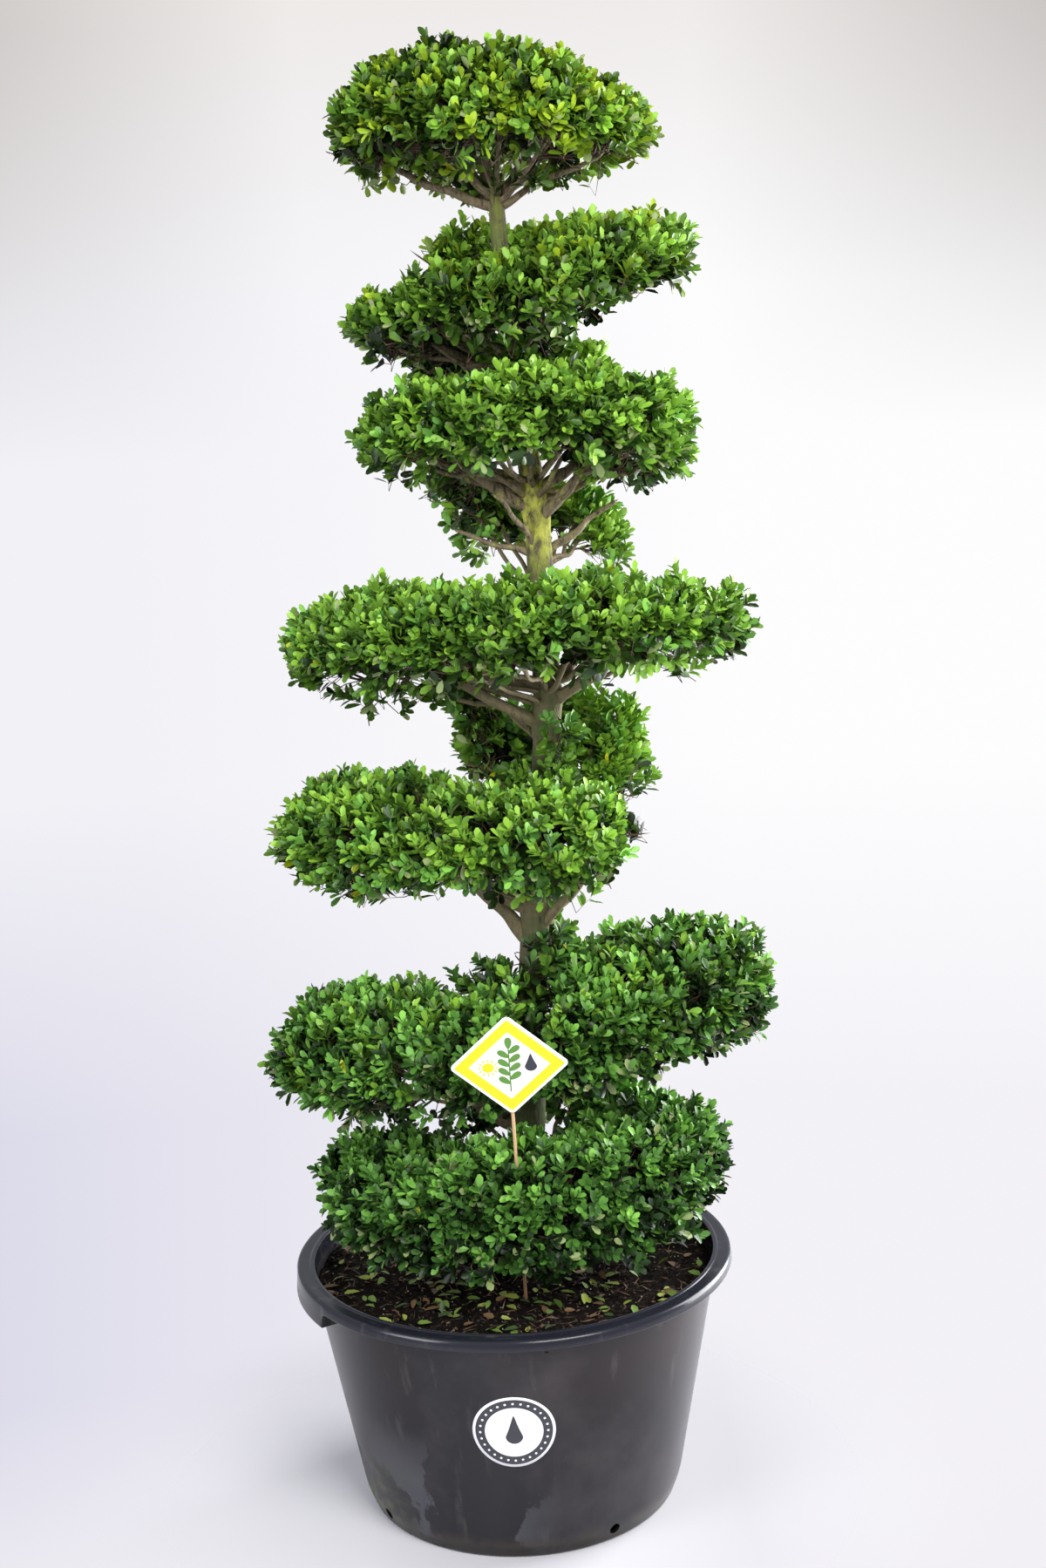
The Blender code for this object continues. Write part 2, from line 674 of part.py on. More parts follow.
def make_mass(name, space, stem, limbs, rng, finishes, parts):
    """Fuses core, stem, twigs and leaves into one solid that keeps to its space."""
    leaf_finish, twig_finish = finishes
    sprays = new_collection("sprays_" + name)
    rod(*stem, 6, twig_finish, sprays)
    for leader, foot, normal in space.sprays(rng):
        tip = foot + normal * TWIG_OUT
        if not clear_of(limbs, [foot, tip]) or not space.holds(tip):
            continue
        rod(leader, tip, TWIG_ROOT_RADIUS, TWIG_TIP_RADIUS, 3, twig_finish, sprays)
        base = rng.uniform(0, 2 * math.pi)
        side = normal.orthogonal().normalized()
        for k in range(LEAVES_A_SPRAY):
            for attempt in range(4):
                turn = base + 2 * math.pi * (k + 0.3 * attempt) / LEAVES_A_SPRAY
                lean = math.radians(rng.uniform(*LEAF_SPREAD) + 8 * attempt)
                out = Matrix.Rotation(turn, 3, normal) @ side
                direction = (normal * math.cos(lean) + out * math.sin(lean)).normalized()
                seat = tip if k == 0 else foot + out * LEAF_RING
                root = seat - direction * LEAF_SUNK
                twist = rng.uniform(-0.5, 0.5)
                corners = leaf_points(root, direction, twist)
                inside = all(space.holds(corner) for corner in corners[1:])
                if inside and clear_of(limbs, corners):
                    leaf(root, direction, twist, leaf_finish, sprays)
                    break
    core = bpy.data.meshes.new("core_" + name)
    bm = space.core()
    bm.to_mesh(core)
    bm.free()
    item = place("core_" + name, core, leaf_finish, parts)
    boolean(item, "UNION", sprays, "MANIFOLD")
    mesh = evaluated_mesh(item)
    for operand in list(sprays.objects):
        bpy.data.objects.remove(operand, do_unlink=True)
    bpy.data.collections.remove(sprays)
    largest_body(mesh)
    place(name, mesh, leaf_finish, parts)


def tier_bough(turn):
    """Path and radii of a bough, and the stem that goes on from its tip into the mass."""
    radius, _, middle, half_depth = ribbon(turn)
    azimuth = math.radians(turn)
    outward = Vector((math.cos(azimuth), math.sin(azimuth), 0.0))
    low = middle - half_depth
    root_height = max(low - BOUGH_DROP, SOIL_LEVEL + BOUGH_LEAST_HEIGHT)
    start = trunk_at(root_height)[0]
    centre = trunk_at(middle)[0]
    elbow_height = max(low - BOUGH_DIP, root_height + BOUGH_BITE)
    elbow = Vector((centre.x, 0.0, elbow_height)) + outward * radius * BOUGH_ELBOW
    core_centre = Vector((centre.x, 0.0, middle)) + outward * radius
    rise = (low + BOUGH_BITE - elbow.z) / (core_centre.z - elbow.z)
    end = elbow.lerp(core_centre, rise)
    path = bezier(start, elbow, end, BOUGH_STATIONS)
    radii = np.linspace(BOUGH_ROOT_RADIUS, BOUGH_TIP_RADIUS, BOUGH_STATIONS)
    way = (path[-1] - path[-2]).normalized()
    reach = (core_centre - end).length
    stem = (end + way * GAP, end + way * (reach + GAP), BOUGH_TIP_RADIUS, TWIG_ROOT_RADIUS)
    return path, radii, stem


def cap_bough(azimuth, root_radius, reach):
    """A bough that leaves the trunk's fork and ends under the cap."""
    way = Vector((math.cos(math.radians(azimuth)), math.sin(math.radians(azimuth)), 0.0))
    start = trunk_at(CAP_BOUGH_ROOT)[0]
    drop = CAP_SAG * math.sqrt(1 - (reach / CAP_REACH) ** 2)
    end = Vector((CAP_CENTRE[0], 0.0, CAP_CENTRE[2] - drop)) + way * reach
    control = start + way * reach / 2 + Vector((0.0, 0.0, CAP_BOUGH_RISE))
    path = bezier(start, control, end, BOUGH_STATIONS)
    return path, np.linspace(root_radius, root_radius * CAP_BOUGH_TAPER, BOUGH_STATIONS)


def make_bough(name, path, radii, cutter, finish, parts):
    """A limb cut clear of the trunk's skin."""
    mesh = limb_mesh(name, path, radii, BOUGH_BEVEL_RESOLUTION)
    item = place(name, mesh, finish, parts)
    boolean(item, "DIFFERENCE", cutter)
    mesh = evaluated_mesh(item)
    largest_body(mesh)
    smooth(mesh, 60)
    place(name, mesh, finish, parts)


def make_plant(parts, cutters):
    bark = material("bark", (0.215, 0.190, 0.120), 0.85)
    foliage = material("evergreen_leaves", (0.045, 0.160, 0.028), 0.45)
    points, radii = trunk_path()
    trunk_mesh = limb_mesh("trunk", points, radii, TRUNK_BEVEL_RESOLUTION)
    smooth(trunk_mesh, 60)
    place("trunk", trunk_mesh, bark, parts)
    below = points[0] + (points[0] - points[1]).normalized() * 0.01
    above = points[-1] + (points[-1] - points[-2]).normalized() * 0.01
    longer = [below] + points + [above]
    thicker = [radius + 1.5 * GAP for radius in [radii[0]] + radii + [radii[-1]]]
    clearance = limb_mesh("trunk_clearance", longer, thicker, TRUNK_BEVEL_RESOLUTION)
    cutter = as_cutter(place("trunk_clearance", clearance, bark, cutters))

    boughs, stems, spaces = {}, {}, {}
    for number, tier in enumerate(TIERS):
        left = 180 + 360 * number
        for side, (start, end) in PART_SPANS.items():
            name = f"{tier}_{side}"
            spaces[name] = RibbonSpace(
                max(left + start, RIBBON_START), min(left + end, RIBBON_END)
            )
            path, limb_radii, stems[name] = tier_bough(left + BOUGH_OFFSETS[side])
            boughs[name] = (path, limb_radii)
    limbs = [(points, radii[FLARE_STATIONS:])] + list(boughs.values())
    foot, head = stick_ends()
    limbs.append(([foot, head], [STICK_RADIUS]))
    for side, sizes in CAP_BOUGHS.items():
        boughs["cap_" + side] = cap_bough(*sizes)
        limbs.append(boughs["cap_" + side])
    way = (points[-1] - points[-2]).normalized()
    length = CAP_CENTRE[2] - points[-1].z
    stems["cap"] = (
        points[-1] + way * 1.2 * GAP, points[-1] + way * length, radii[-1] * 0.9, TWIG_ROOT_RADIUS
    )
    spaces["cap"] = CapSpace()
    for name, (path, limb_radii) in boughs.items():
        make_bough("bough_" + name, path, limb_radii, cutter, bark, parts)
    rng = random.Random(SEED)
    for name, space in spaces.items():
        make_mass("foliage_" + name, space, stems[name], limbs, rng, (foliage, bark), parts)


# ---------------------------------------------------------------- label

def stick_way():
    """Direction up the stick: it leans to the front, and slightly to the left."""
    way = Vector((STICK_TURN, -math.sin(STICK_LEAN), math.cos(STICK_LEAN)))
    return way.normalized()


def stick_ends():
    lift = GAP + STICK_RADIUS * math.sin(STICK_LEAN)
    foot = Vector((*STICK_FOOT, SOIL_LEVEL + lift))
    return foot, foot + stick_way() * STICK_LENGTH


def board_outline(side, corner, steps=3):
    """A square with rounded corners, turned onto its corner."""
    half = side / 2 - corner
    points = []
    for k, (x, y) in enumerate(((half, half), (-half, half), (-half, -half), (half, -half))):
        for i in range(steps + 1):
            angle = math.pi / 2 * (k + i / steps)
            points.append((x + corner * math.cos(angle), y + corner * math.sin(angle)))
    turn = math.pi / 4
    return [
        (x * math.cos(turn) - y * math.sin(turn), x * math.sin(turn) + y * math.cos(turn))
        for x, y in points
    ]


def make_label(parts):
    wood = material("birch_stick", (0.55, 0.38, 0.22), 0.7)
    card = material("label_card", (0.85, 0.85, 0.80), 0.35)
    foot, head = stick_ends()
    stick = limb_mesh("label_stick", [foot, head], [STICK_RADIUS, STICK_RADIUS], 2)
    smooth(stick, 60)
    place("label_stick", stick, wood, parts)
    curve = bpy.data.curves.new("label_board", "CURVE")
    curve.dimensions = "2D"
    curve.fill_mode = "BOTH"
    curve.extrude = BOARD_THICKNESS / 2
    outline = board_outline(BOARD_SIDE, BOARD_CORNER)
    spline = curve.splines.new("POLY")
    spline.points.add(len(outline) - 1)
    for point, (x, y) in zip(spline.points, outline):
        point.co = (x, y, 0.0, 1.0)
    spline.use_cyclic_u = True
    board = bpy.data.objects.new("label_board", curve)
    parts.objects.link(board)
    up = stick_way()
    facing = Vector((0.0, -math.cos(STICK_LEAN), -math.sin(STICK_LEAN)))
    across = up.cross(facing).normalized()
    facing = across.cross(up).normalized()
    centre = foot + up * BOARD_PLACE + facing * (STICK_RADIUS + GAP + BOARD_THICKNESS / 2)
    frame = Matrix((across, up, facing)).transposed().to_4x4()
    board.matrix_world = Matrix.Translation(centre) @ frame
    place("label_board", evaluated_mesh(board), card, parts)


def build():
    clear_scene()
    parts = new_collection(NAME)
    cutters = new_collection("cutters")
    make_pot(parts, cutters)
    make_soil(parts)
    make_plant(parts, cutters)
    make_label(parts)


build()
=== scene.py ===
"""Spiral topiary in a growing tub: its finishes, bark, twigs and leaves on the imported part.

Metres, +Z up, the tub's foot at z = 0 and the front at -Y. The sections follow the object as
it is put together: tub, sticker, soil, trunk, boughs, twigs, leaves, berries and label, then
the studio that it stands in.
"""

import bpy
import numpy as np
from mathutils import Matrix, Vector


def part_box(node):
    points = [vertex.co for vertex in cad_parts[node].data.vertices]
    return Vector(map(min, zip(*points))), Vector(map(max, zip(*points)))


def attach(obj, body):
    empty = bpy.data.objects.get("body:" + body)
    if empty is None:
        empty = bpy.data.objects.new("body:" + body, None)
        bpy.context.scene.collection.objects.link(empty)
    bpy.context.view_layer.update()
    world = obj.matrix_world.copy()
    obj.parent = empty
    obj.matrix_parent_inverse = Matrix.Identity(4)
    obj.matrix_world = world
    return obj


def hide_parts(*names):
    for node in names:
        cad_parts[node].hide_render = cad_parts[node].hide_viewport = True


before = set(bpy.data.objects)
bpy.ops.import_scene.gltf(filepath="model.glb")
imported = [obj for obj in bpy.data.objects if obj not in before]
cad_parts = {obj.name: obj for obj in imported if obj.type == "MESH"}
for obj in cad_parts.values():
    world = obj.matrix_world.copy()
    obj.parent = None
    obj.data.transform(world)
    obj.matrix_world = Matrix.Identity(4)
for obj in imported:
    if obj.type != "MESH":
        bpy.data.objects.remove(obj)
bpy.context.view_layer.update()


# ---------------------------------------------------------------- tub
# A round growing tub, injection moulded in charcoal plastic: a tapered wall under a rolled
# rim, two grips moulded under the rim, drain holes low in the wall and slots in the foot.

TUB_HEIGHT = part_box("pot")[1][2]
TUB_RIM_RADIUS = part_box("pot")[1][1]
TUB_RIM_INNER = 0.3195
TUB_UNDER_RIM = 0.3825
TUB_SHOULDER = 0.3240
TUB_HEEL = 0.2580
TUB_HEEL_HEIGHT = 0.030
TUB_FOOT = 0.2445
TUB_WALL = 0.005
TUB_COLUMNS = 384
TUB_LONGEST_RUN = 0.012
TUB_SHARPEST = 38  # degrees between faces that still look smooth
TUB_LIP = 0.008  # the band that the rim's underside ends in: glossier, and painted lighter and bluer as a reflection of the sky
GRIP_TURNS = (197, 17)
GRIP_HALF_ARC = 16
GRIP_RAMP = 0.9
GRIP_BOTTOM = TUB_HEIGHT - 0.042
DRAIN_TURNS = (-57, 33, 123, 213)
DRAIN_RADIUS = 0.009
DRAIN_HEIGHT = 0.022
DRAIN_DEPTH = 0.016
SLOT_TURNS = (-92.6, -2.6, 87.4, 177.4)
SLOT_HALF_WIDTH = 0.0125
SLOT_HEIGHT = 0.0028
SLOT_DEPTH = 0.03


def new_piece(name, points, faces, finishes, face_finish=0, smooth=True):
    """Puts an array of corners and one of faces, all of the same number of corners, in a mesh."""
    mesh = bpy.data.meshes.new(name)
    count, corners = faces.shape
    mesh.vertices.add(len(points))
    mesh.vertices.foreach_set("co", np.asarray(points, np.float32).ravel())
    mesh.loops.add(count * corners)
    mesh.loops.foreach_set("vertex_index", np.asarray(faces, np.int32).ravel())
    mesh.polygons.add(count)
    mesh.polygons.foreach_set("loop_start", np.arange(count, dtype=np.int32) * corners)
    mesh.polygons.foreach_set("use_smooth", np.full(count, smooth))
    indices = np.broadcast_to(np.asarray(face_finish, np.int32), count)
    mesh.polygons.foreach_set("material_index", np.ascontiguousarray(indices))
    mesh.update(calc_edges=True)
    for finish in finishes:
        mesh.materials.append(finish)
    piece = bpy.data.objects.new(name, mesh)
    bpy.context.scene.collection.objects.link(piece)
    return piece


def polar(radius, degrees, height):
    """Points from a radius, a turn about Z and a height: (r cos a, r sin a, z)."""
    angle = np.radians(degrees)
    flat = np.broadcast_arrays(radius * np.cos(angle), radius * np.sin(angle), height)
    return np.stack(flat, axis=-1)


def unit(vectors):
    return vectors / np.maximum(np.linalg.norm(vectors, axis=-1, keepdims=True), 1e-12)


def ring(count):
    """Points at even turns round a circle of radius 1."""
    angle = np.arange(count) * 2 * np.pi / count
    return np.stack([np.cos(angle), np.sin(angle)], -1)


def bow(start, bend, end, stations):
    """Curves (1-t)^2 A + 2t(1-t) B + t^2 C, each given by so many stations."""
    t = np.linspace(0, 1, stations)[None, :, None]
    return (1 - t) ** 2 * start[:, None] + 2 * t * (1 - t) * bend[:, None] + t ** 2 * end[:, None]


def moulded_profile(corners, cuts, runs, steps=5):
    """A profile with rounded corners. A corner gives way to the curve that it bends between
    the places at the cut's length before and after it, and the straight run before each
    corner is divided into its number of equal parts."""
    inner = corners[1:-1]
    before = inner + unit(corners[:-2] - inner) * cuts[:, None]
    after = inner + unit(corners[2:] - inner) * cuts[:, None]
    arcs = bow(before, inner, after, steps)
    starts = np.concatenate([corners[:1], arcs[:, -1]])
    ends = np.concatenate([arcs[:, 0], corners[-1:]])
    rows = [corners[:1]]
    for i, run in enumerate(runs):
        share = np.linspace(0, 1, run + 1)[1:-1, None]
        rows += [starts[i] + (ends[i] - starts[i]) * share, arcs[i:i + 1].reshape(-1, 2)]
    return np.concatenate(rows + [corners[-1:]])


def split_quads(a, b, c, d):
    """Quads a b c d as two lists of triangles, a b c and a c d."""
    return [np.stack([a, b, c], -1).reshape(-1, 3), np.stack([a, c, d], -1).reshape(-1, 3)]


def repeated(faces, corners, count):
    """The faces of one shape with its number of corners, for a count of such shapes."""
    return (faces + corners * np.arange(count)[:, None, None]).reshape(-1, faces.shape[-1])


def turned_shell(rings, first_pole, last_pole):
    """Corners and triangles of a closed turned shell: rings of points between two poles."""
    rows, columns = rings.shape[:2]
    index = 1 + np.arange(rows * columns).reshape(rows, columns)
    beside = np.roll(index, -1, axis=1)
    faces = split_quads(index[:-1], index[1:], beside[1:], beside[:-1]) + [
        np.stack([np.zeros(columns, int), index[0], beside[0]], -1),
        np.stack([np.full(columns, rows * columns + 1), beside[-1], index[-1]], -1),
    ]
    points = np.concatenate([[first_pole], rings.reshape(-1, 3), [last_pole]])
    return points, np.concatenate(faces)


def wall_radius(height):
    """Outer radius of the tub's straight wall at a height."""
    share = (height - TUB_HEEL_HEIGHT) / (TUB_UNDER_RIM - TUB_HEEL_HEIGHT)
    return TUB_HEEL + share * (TUB_SHOULDER - TUB_HEEL)


def tub_profile(under):
    """Profile from the middle of the floor inside, over the rim, to the middle underneath."""
    corners = np.array([
        (0.0, 0.006), (TUB_FOOT - 0.004, 0.006),
        (wall_radius(TUB_HEEL_HEIGHT) - TUB_WALL, TUB_HEEL_HEIGHT),
        (TUB_SHOULDER - TUB_WALL, TUB_UNDER_RIM), (TUB_RIM_INNER, TUB_HEIGHT - 0.001),
        (TUB_RIM_INNER + 0.0055, TUB_HEIGHT), (TUB_RIM_INNER + 0.0085, TUB_HEIGHT - 0.0022),
        (TUB_RIM_RADIUS - 0.003, TUB_HEIGHT - 0.0010), (TUB_RIM_RADIUS, under),
        (wall_radius(under), under), (TUB_HEEL, TUB_HEEL_HEIGHT),
        (TUB_FOOT + 0.003, 0.003), (TUB_FOOT, 0.0), (TUB_FOOT - 0.018, 0.0),
        (TUB_FOOT - 0.020, 0.0035), (0.0, 0.0035),
    ])
    cuts = np.array([
        0.003, 0.008, 0.004, 0.0018, 0.0014, 0.0016, 0.0062, 0.0038, 0.0016, 0.012,
        0.0020, 0.0012, 0.0008, 0.0012,
    ])
    return corners, cuts


plain_corners, plain_cuts = tub_profile(TUB_UNDER_RIM)
run_lengths = np.linalg.norm(np.diff(plain_corners, axis=0), axis=1)
runs = np.ceil(run_lengths / TUB_LONGEST_RUN).astype(int)[:-1]
plain = moulded_profile(plain_corners, plain_cuts, runs)
gripped = moulded_profile(*tub_profile(GRIP_BOTTOM), runs)
turns = np.arange(TUB_COLUMNS) * 360 / TUB_COLUMNS
from_grip = [np.abs((turns - turn + 180) % 360 - 180) for turn in GRIP_TURNS]
in_grip = np.clip((GRIP_HALF_ARC - np.minimum(*from_grip)) / GRIP_RAMP, 0, 1)[None, :]
tub_rings = [
    plain[1:-1, k, None] + (gripped - plain)[1:-1, k, None] * in_grip for k in (0, 1)
]
tub_points, tub_faces = turned_shell(
    polar(tub_rings[0], turns[None, :], tub_rings[1]),
    (0, 0, plain[0, 1]), (0, 0, plain[-1, 1]),
)


def node(tree, kind, values=(), **settings):
    """A shader node with its settings, and its inputs from values: numbers or other sockets."""
    made = tree.nodes.new(kind)
    for key, value in settings.items():
        setattr(made, key, value)
    for key, value in dict(values).items():
        if isinstance(value, bpy.types.NodeSocket):
            tree.links.new(value, made.inputs[key])
        else:
            made.inputs[key].default_value = value
    return made


def new_finish(name, colour, roughness, **sockets):
    """A material with its Principled shader; spaces in a socket's name are underscores."""
    finish = bpy.data.materials.new(name)
    finish.use_nodes = True
    shader = finish.node_tree.nodes["Principled BSDF"]
    shader.inputs["Base Color"].default_value = (*colour, 1)
    shader.inputs["Roughness"].default_value = roughness
    for key, value in sockets.items():
        shader.inputs[key.replace("_", " ")].default_value = value
    return finish, finish.node_tree, shader


def new_group(name, inputs, outputs):
    """A shader node group with float inputs and their values, and outputs with their kinds."""
    group = bpy.data.node_groups.new(name, "ShaderNodeTree")
    for key, value in inputs.items():
        socket = group.interface.new_socket(key, in_out="INPUT", socket_type="NodeSocketFloat")
        socket.default_value = value
    for key, kind in outputs.items():
        group.interface.new_socket(key, in_out="OUTPUT", socket_type="NodeSocket" + kind)
    return group, group.nodes.new("NodeGroupInput"), group.nodes.new("NodeGroupOutput")


def grouped(tree, group, **values):
    """The group placed in a material's tree, with its own values."""
    return node(tree, "ShaderNodeGroup", values, node_tree=group)


def maths(tree, operation, *values):
    """The result of a maths node."""
    return node(tree, "ShaderNodeMath", dict(enumerate(values)), operation=operation).outputs[0]


def product(tree, *factors):
    """Masks and numbers multiplied together."""
    result = factors[0]
    for factor in factors[1:]:
        result = maths(tree, "MULTIPLY", result, factor)
    return result


def ramp(tree, value, low, high, start=0.0, end=1.0, **settings):
    """The value carried from low..high to start..end, and held at the ends."""
    return node(tree, "ShaderNodeMapRange", {
        "Value": value, "From Min": low, "From Max": high, "To Min": start, "To Max": end,
    }, **settings).outputs["Result"]


def blend(tree, mask, under, over):
    """under where the mask is 0 and over where it is 1; each is a colour or a socket."""
    mixed = node(tree, "ShaderNodeMix", {"Factor": mask}, data_type="RGBA")
    for key, colour in ((6, under), (7, over)):
        if isinstance(colour, bpy.types.NodeSocket):
            tree.links.new(colour, mixed.inputs[key])
        else:
            mixed.inputs[key].default_value = (*colour, 1)
    return mixed.outputs[2]


def layered(tree, colour, *layers):
    """The colour under layers, each given by its own colour and the factors of its mask."""
    for over, *factors in layers:
        colour = blend(tree, product(tree, *factors), colour, over)
    return colour


def object_axes(tree):
    """X, Y and Z of the Object coordinates."""
    place = node(tree, "ShaderNodeTexCoord").outputs["Object"]
    return node(tree, "ShaderNodeSeparateXYZ", {0: place}).outputs


def drawn_noise(group, group_in, **detail):
    """Noise at the group's Scale, drawn out up and down by its Stretch."""
    place = node(group, "ShaderNodeTexCoord").outputs["Object"]
    squeeze = maths(group, "DIVIDE", 1.0, group_in.outputs["Stretch"])
    drawn = node(group, "ShaderNodeCombineXYZ", {"X": 1.0, "Y": 1.0, "Z": squeeze})
    drawn = node(group, "ShaderNodeVectorMath", {0: place, 1: drawn.outputs[0]},
                 operation="MULTIPLY")
    return node(group, "ShaderNodeTexNoise", {
        "Vector": drawn.outputs[0], "Scale": group_in.outputs["Scale"], **detail,
    }).outputs["Fac"]


# Patches: soft-edged blotches of dust, algae or damp, a noise cut at a level. Cover is the
# share of the surface that they take, and Stretch draws them out up and down.
patches, patches_in, patches_out = new_group(
    "patches", {"Scale": 8.0, "Cover": 0.5, "Softness": 0.15, "Stretch": 1.0},
    {"Mask": "Float"},
)
cloud = drawn_noise(patches, patches_in, Detail=6.0, Roughness=0.6)
level = maths(patches, "MULTIPLY_ADD", patches_in.outputs["Cover"], -0.56, 0.78)
upper = maths(patches, "ADD", level, patches_in.outputs["Softness"])
patches.links.new(ramp(patches, cloud, level, upper), patches_out.inputs["Mask"])

# Grain: a fine pitted texture as a normal, for moulded plastic, card, wood and bark.
grain, grain_in, grain_out = new_group(
    "grain", {"Scale": 900.0, "Depth": 0.00004, "Stretch": 1.0}, {"Normal": "Vector"}
)
pits = drawn_noise(grain, grain_in, Detail=3.0)
relief = node(grain, "ShaderNodeBump", {"Height": pits, "Distance": grain_in.outputs["Depth"]})
grain.links.new(relief.outputs["Normal"], grain_out.inputs["Normal"])


def patch(tree, scale, cover, softness, stretch=1.0):
    """The mask of the patches group in a material's tree."""
    return grouped(tree, patches, Scale=scale, Cover=cover, Softness=softness,
                   Stretch=stretch).outputs[0]


def dress(tree, shader, colour=None, **skin):
    """Links a material's colour, and the grain group's normal where it is given values."""
    if colour is not None:
        tree.links.new(colour, shader.inputs["Base Color"])
    if skin:
        tree.links.new(grouped(tree, grain, **skin).outputs["Normal"], shader.inputs["Normal"])


TUB_COLOUR = (0.0070, 0.0060, 0.0090)
TUB_WORN_COLOUR = (0.044, 0.037, 0.040)
TUB_LIP_REFLECTION = (0.0118, 0.0125, 0.0190)
TUB_BROWN = (0.036, 0.021, 0.017)
TUB_BLOOM = (0.060, 0.062, 0.074)
DUST_COLOUR = (0.135, 0.128, 0.125)
MUD_COLOUR = (0.036, 0.026, 0.017)
TUB_FOOT_BLACK = (0.008, 0.006, 0.004)
MOSS_COLOUR = (0.070, 0.088, 0.022)

tub_finish, tree, shader = new_finish("charcoal_plastic", TUB_COLOUR, 0.34, IOR=1.50)
x, _, z = object_axes(tree)
worn = patch(tree, 5.0, 0.5, 0.35)
brown = patch(tree, 3.2, 0.55, 0.4, 2.0)
runs = patch(tree, 30.0, 0.34, 0.10, 7.0)
rubs = patch(tree, 70.0, 0.16, 0.10, 0.12)
specks = patch(tree, 260.0, 0.13, 0.04)
mud = patch(tree, 26.0, 0.62, 0.12)
moss = patch(tree, 44.0, 0.55, 0.1)
stained = product(tree, patch(tree, 7.5, 0.46, 0.02, 1.5), ramp(tree, z, 0.215, 0.120),
                  ramp(tree, x, 0.06, -0.02))
lip = ramp(tree, z, TUB_UNDER_RIM - TUB_LIP, TUB_UNDER_RIM)
colour = layered(
    tree, TUB_COLOUR,
    (TUB_WORN_COLOUR, worn),
    (TUB_BROWN, brown, ramp(tree, z, 0.180, 0.330), 0.8),
    # The lip band is painted lighter and bluer, as a reflection of the sky.
    (TUB_LIP_REFLECTION, lip),
    (DUST_COLOUR, runs, 0.16),
    (TUB_BLOOM, stained, 0.75),
    (DUST_COLOUR, rubs, 0.30),
    (DUST_COLOUR, specks, 0.30),
    (MOSS_COLOUR, moss, ramp(tree, x, -0.165, -0.225), ramp(tree, z, 0.150, 0.030), 0.75),
    (MUD_COLOUR, mud, ramp(tree, z, 0.045, 0.012), 0.8),
    # Near black in patches on the lowest two centimetres of the wall, darker towards the foot.
    (TUB_FOOT_BLACK, ramp(tree, z, 0.024, 0.014), ramp(tree, mud, 0.0, 1.0, 0.55, 1.0)),
)
dull = maths(tree, "MAXIMUM", product(tree, worn, 0.6), stained)
polish = product(tree, ramp(tree, lip, 0.0, 1.0, 1.0, 0.62), ramp(tree, dull, 0.0, 1.0, 0.29, 0.50))
tree.links.new(polish, shader.inputs["Roughness"])
tree.links.new(ramp(tree, brown, 0.0, 1.0, 0.42, 0.13), shader.inputs["Specular IOR Level"])
dress(tree, shader, colour, Scale=1400.0, Depth=0.00003)
tub = new_piece("tub", tub_points, tub_faces, [tub_finish])


def bars(centres, ways, half_width, half_height, half_length, count=24):
    """Closed elliptic bars: each centre's ring points are side a cos t + up b sin t, at both
    ends of its way, and the ends are closed by fans."""
    sides = np.cross(UP, ways)
    up = np.cross(ways, sides)
    c, s = ring(count).T
    ellipse = (sides[:, None] * (half_width * c)[:, None]
               + up[:, None] * (half_height * s)[:, None])
    ends = np.stack([centres - ways * half_length, centres + ways * half_length], 1)
    points = np.concatenate([ends[:, :1] + ellipse, ends[:, 1:] + ellipse, ends], 1)
    a = np.arange(count)
    b = (a + 1) % count
    faces = np.concatenate(split_quads(a, b, b + count, a + count) + [
        np.stack([b, a, np.full(count, 2 * count)], -1),
        np.stack([a + count, b + count, np.full(count, 2 * count + 1)], -1),
    ])
    return points.reshape(-1, 3), repeated(faces, 2 * count + 2, len(centres))


def cut_out(piece, points, faces):
    """Cuts closed shapes out of a piece with a Boolean, which is applied."""
    cutter = new_piece(piece.name + "_cutter", points, faces, [])
    step = piece.modifiers.new("cut", "BOOLEAN")
    step.operation = "DIFFERENCE"
    step.solver = "EXACT"
    step.object = cutter
    bpy.context.view_layer.update()
    graph = bpy.context.evaluated_depsgraph_get()
    mesh = bpy.data.meshes.new_from_object(piece.evaluated_get(graph))
    piece.modifiers.clear()
    piece.data = mesh
    bpy.data.objects.remove(cutter, do_unlink=True)


def outward(turns):
    return polar(1.0, np.asarray(turns, float), 0.0)


UP = np.array((0, 0, 1.0))
for turns, radius, height, *half_sizes in (
    (DRAIN_TURNS, wall_radius(DRAIN_HEIGHT), DRAIN_HEIGHT, DRAIN_RADIUS, DRAIN_RADIUS, DRAIN_DEPTH),
    (SLOT_TURNS, TUB_FOOT, 0.0, SLOT_HALF_WIDTH, SLOT_HEIGHT, SLOT_DEPTH),
):
    cut_out(tub, *bars(polar(radius, np.array(turns, float), height), outward(turns), *half_sizes))
tub.data.set_sharp_from_angle(angle=np.radians(TUB_SHARPEST))
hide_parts("pot")
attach(tub, "root")

# Short ribs that stiffen the lip, moulded between the wall and the underside of the rim.
RIB_TURNS = (-137.0, -50.5, 43.0, 130.0)
RIB_HALF_WIDTH = 0.0065
RIB_DEPTH = 0.008
RIB_REACH = 0.017
RIB_BEVEL = 0.0008

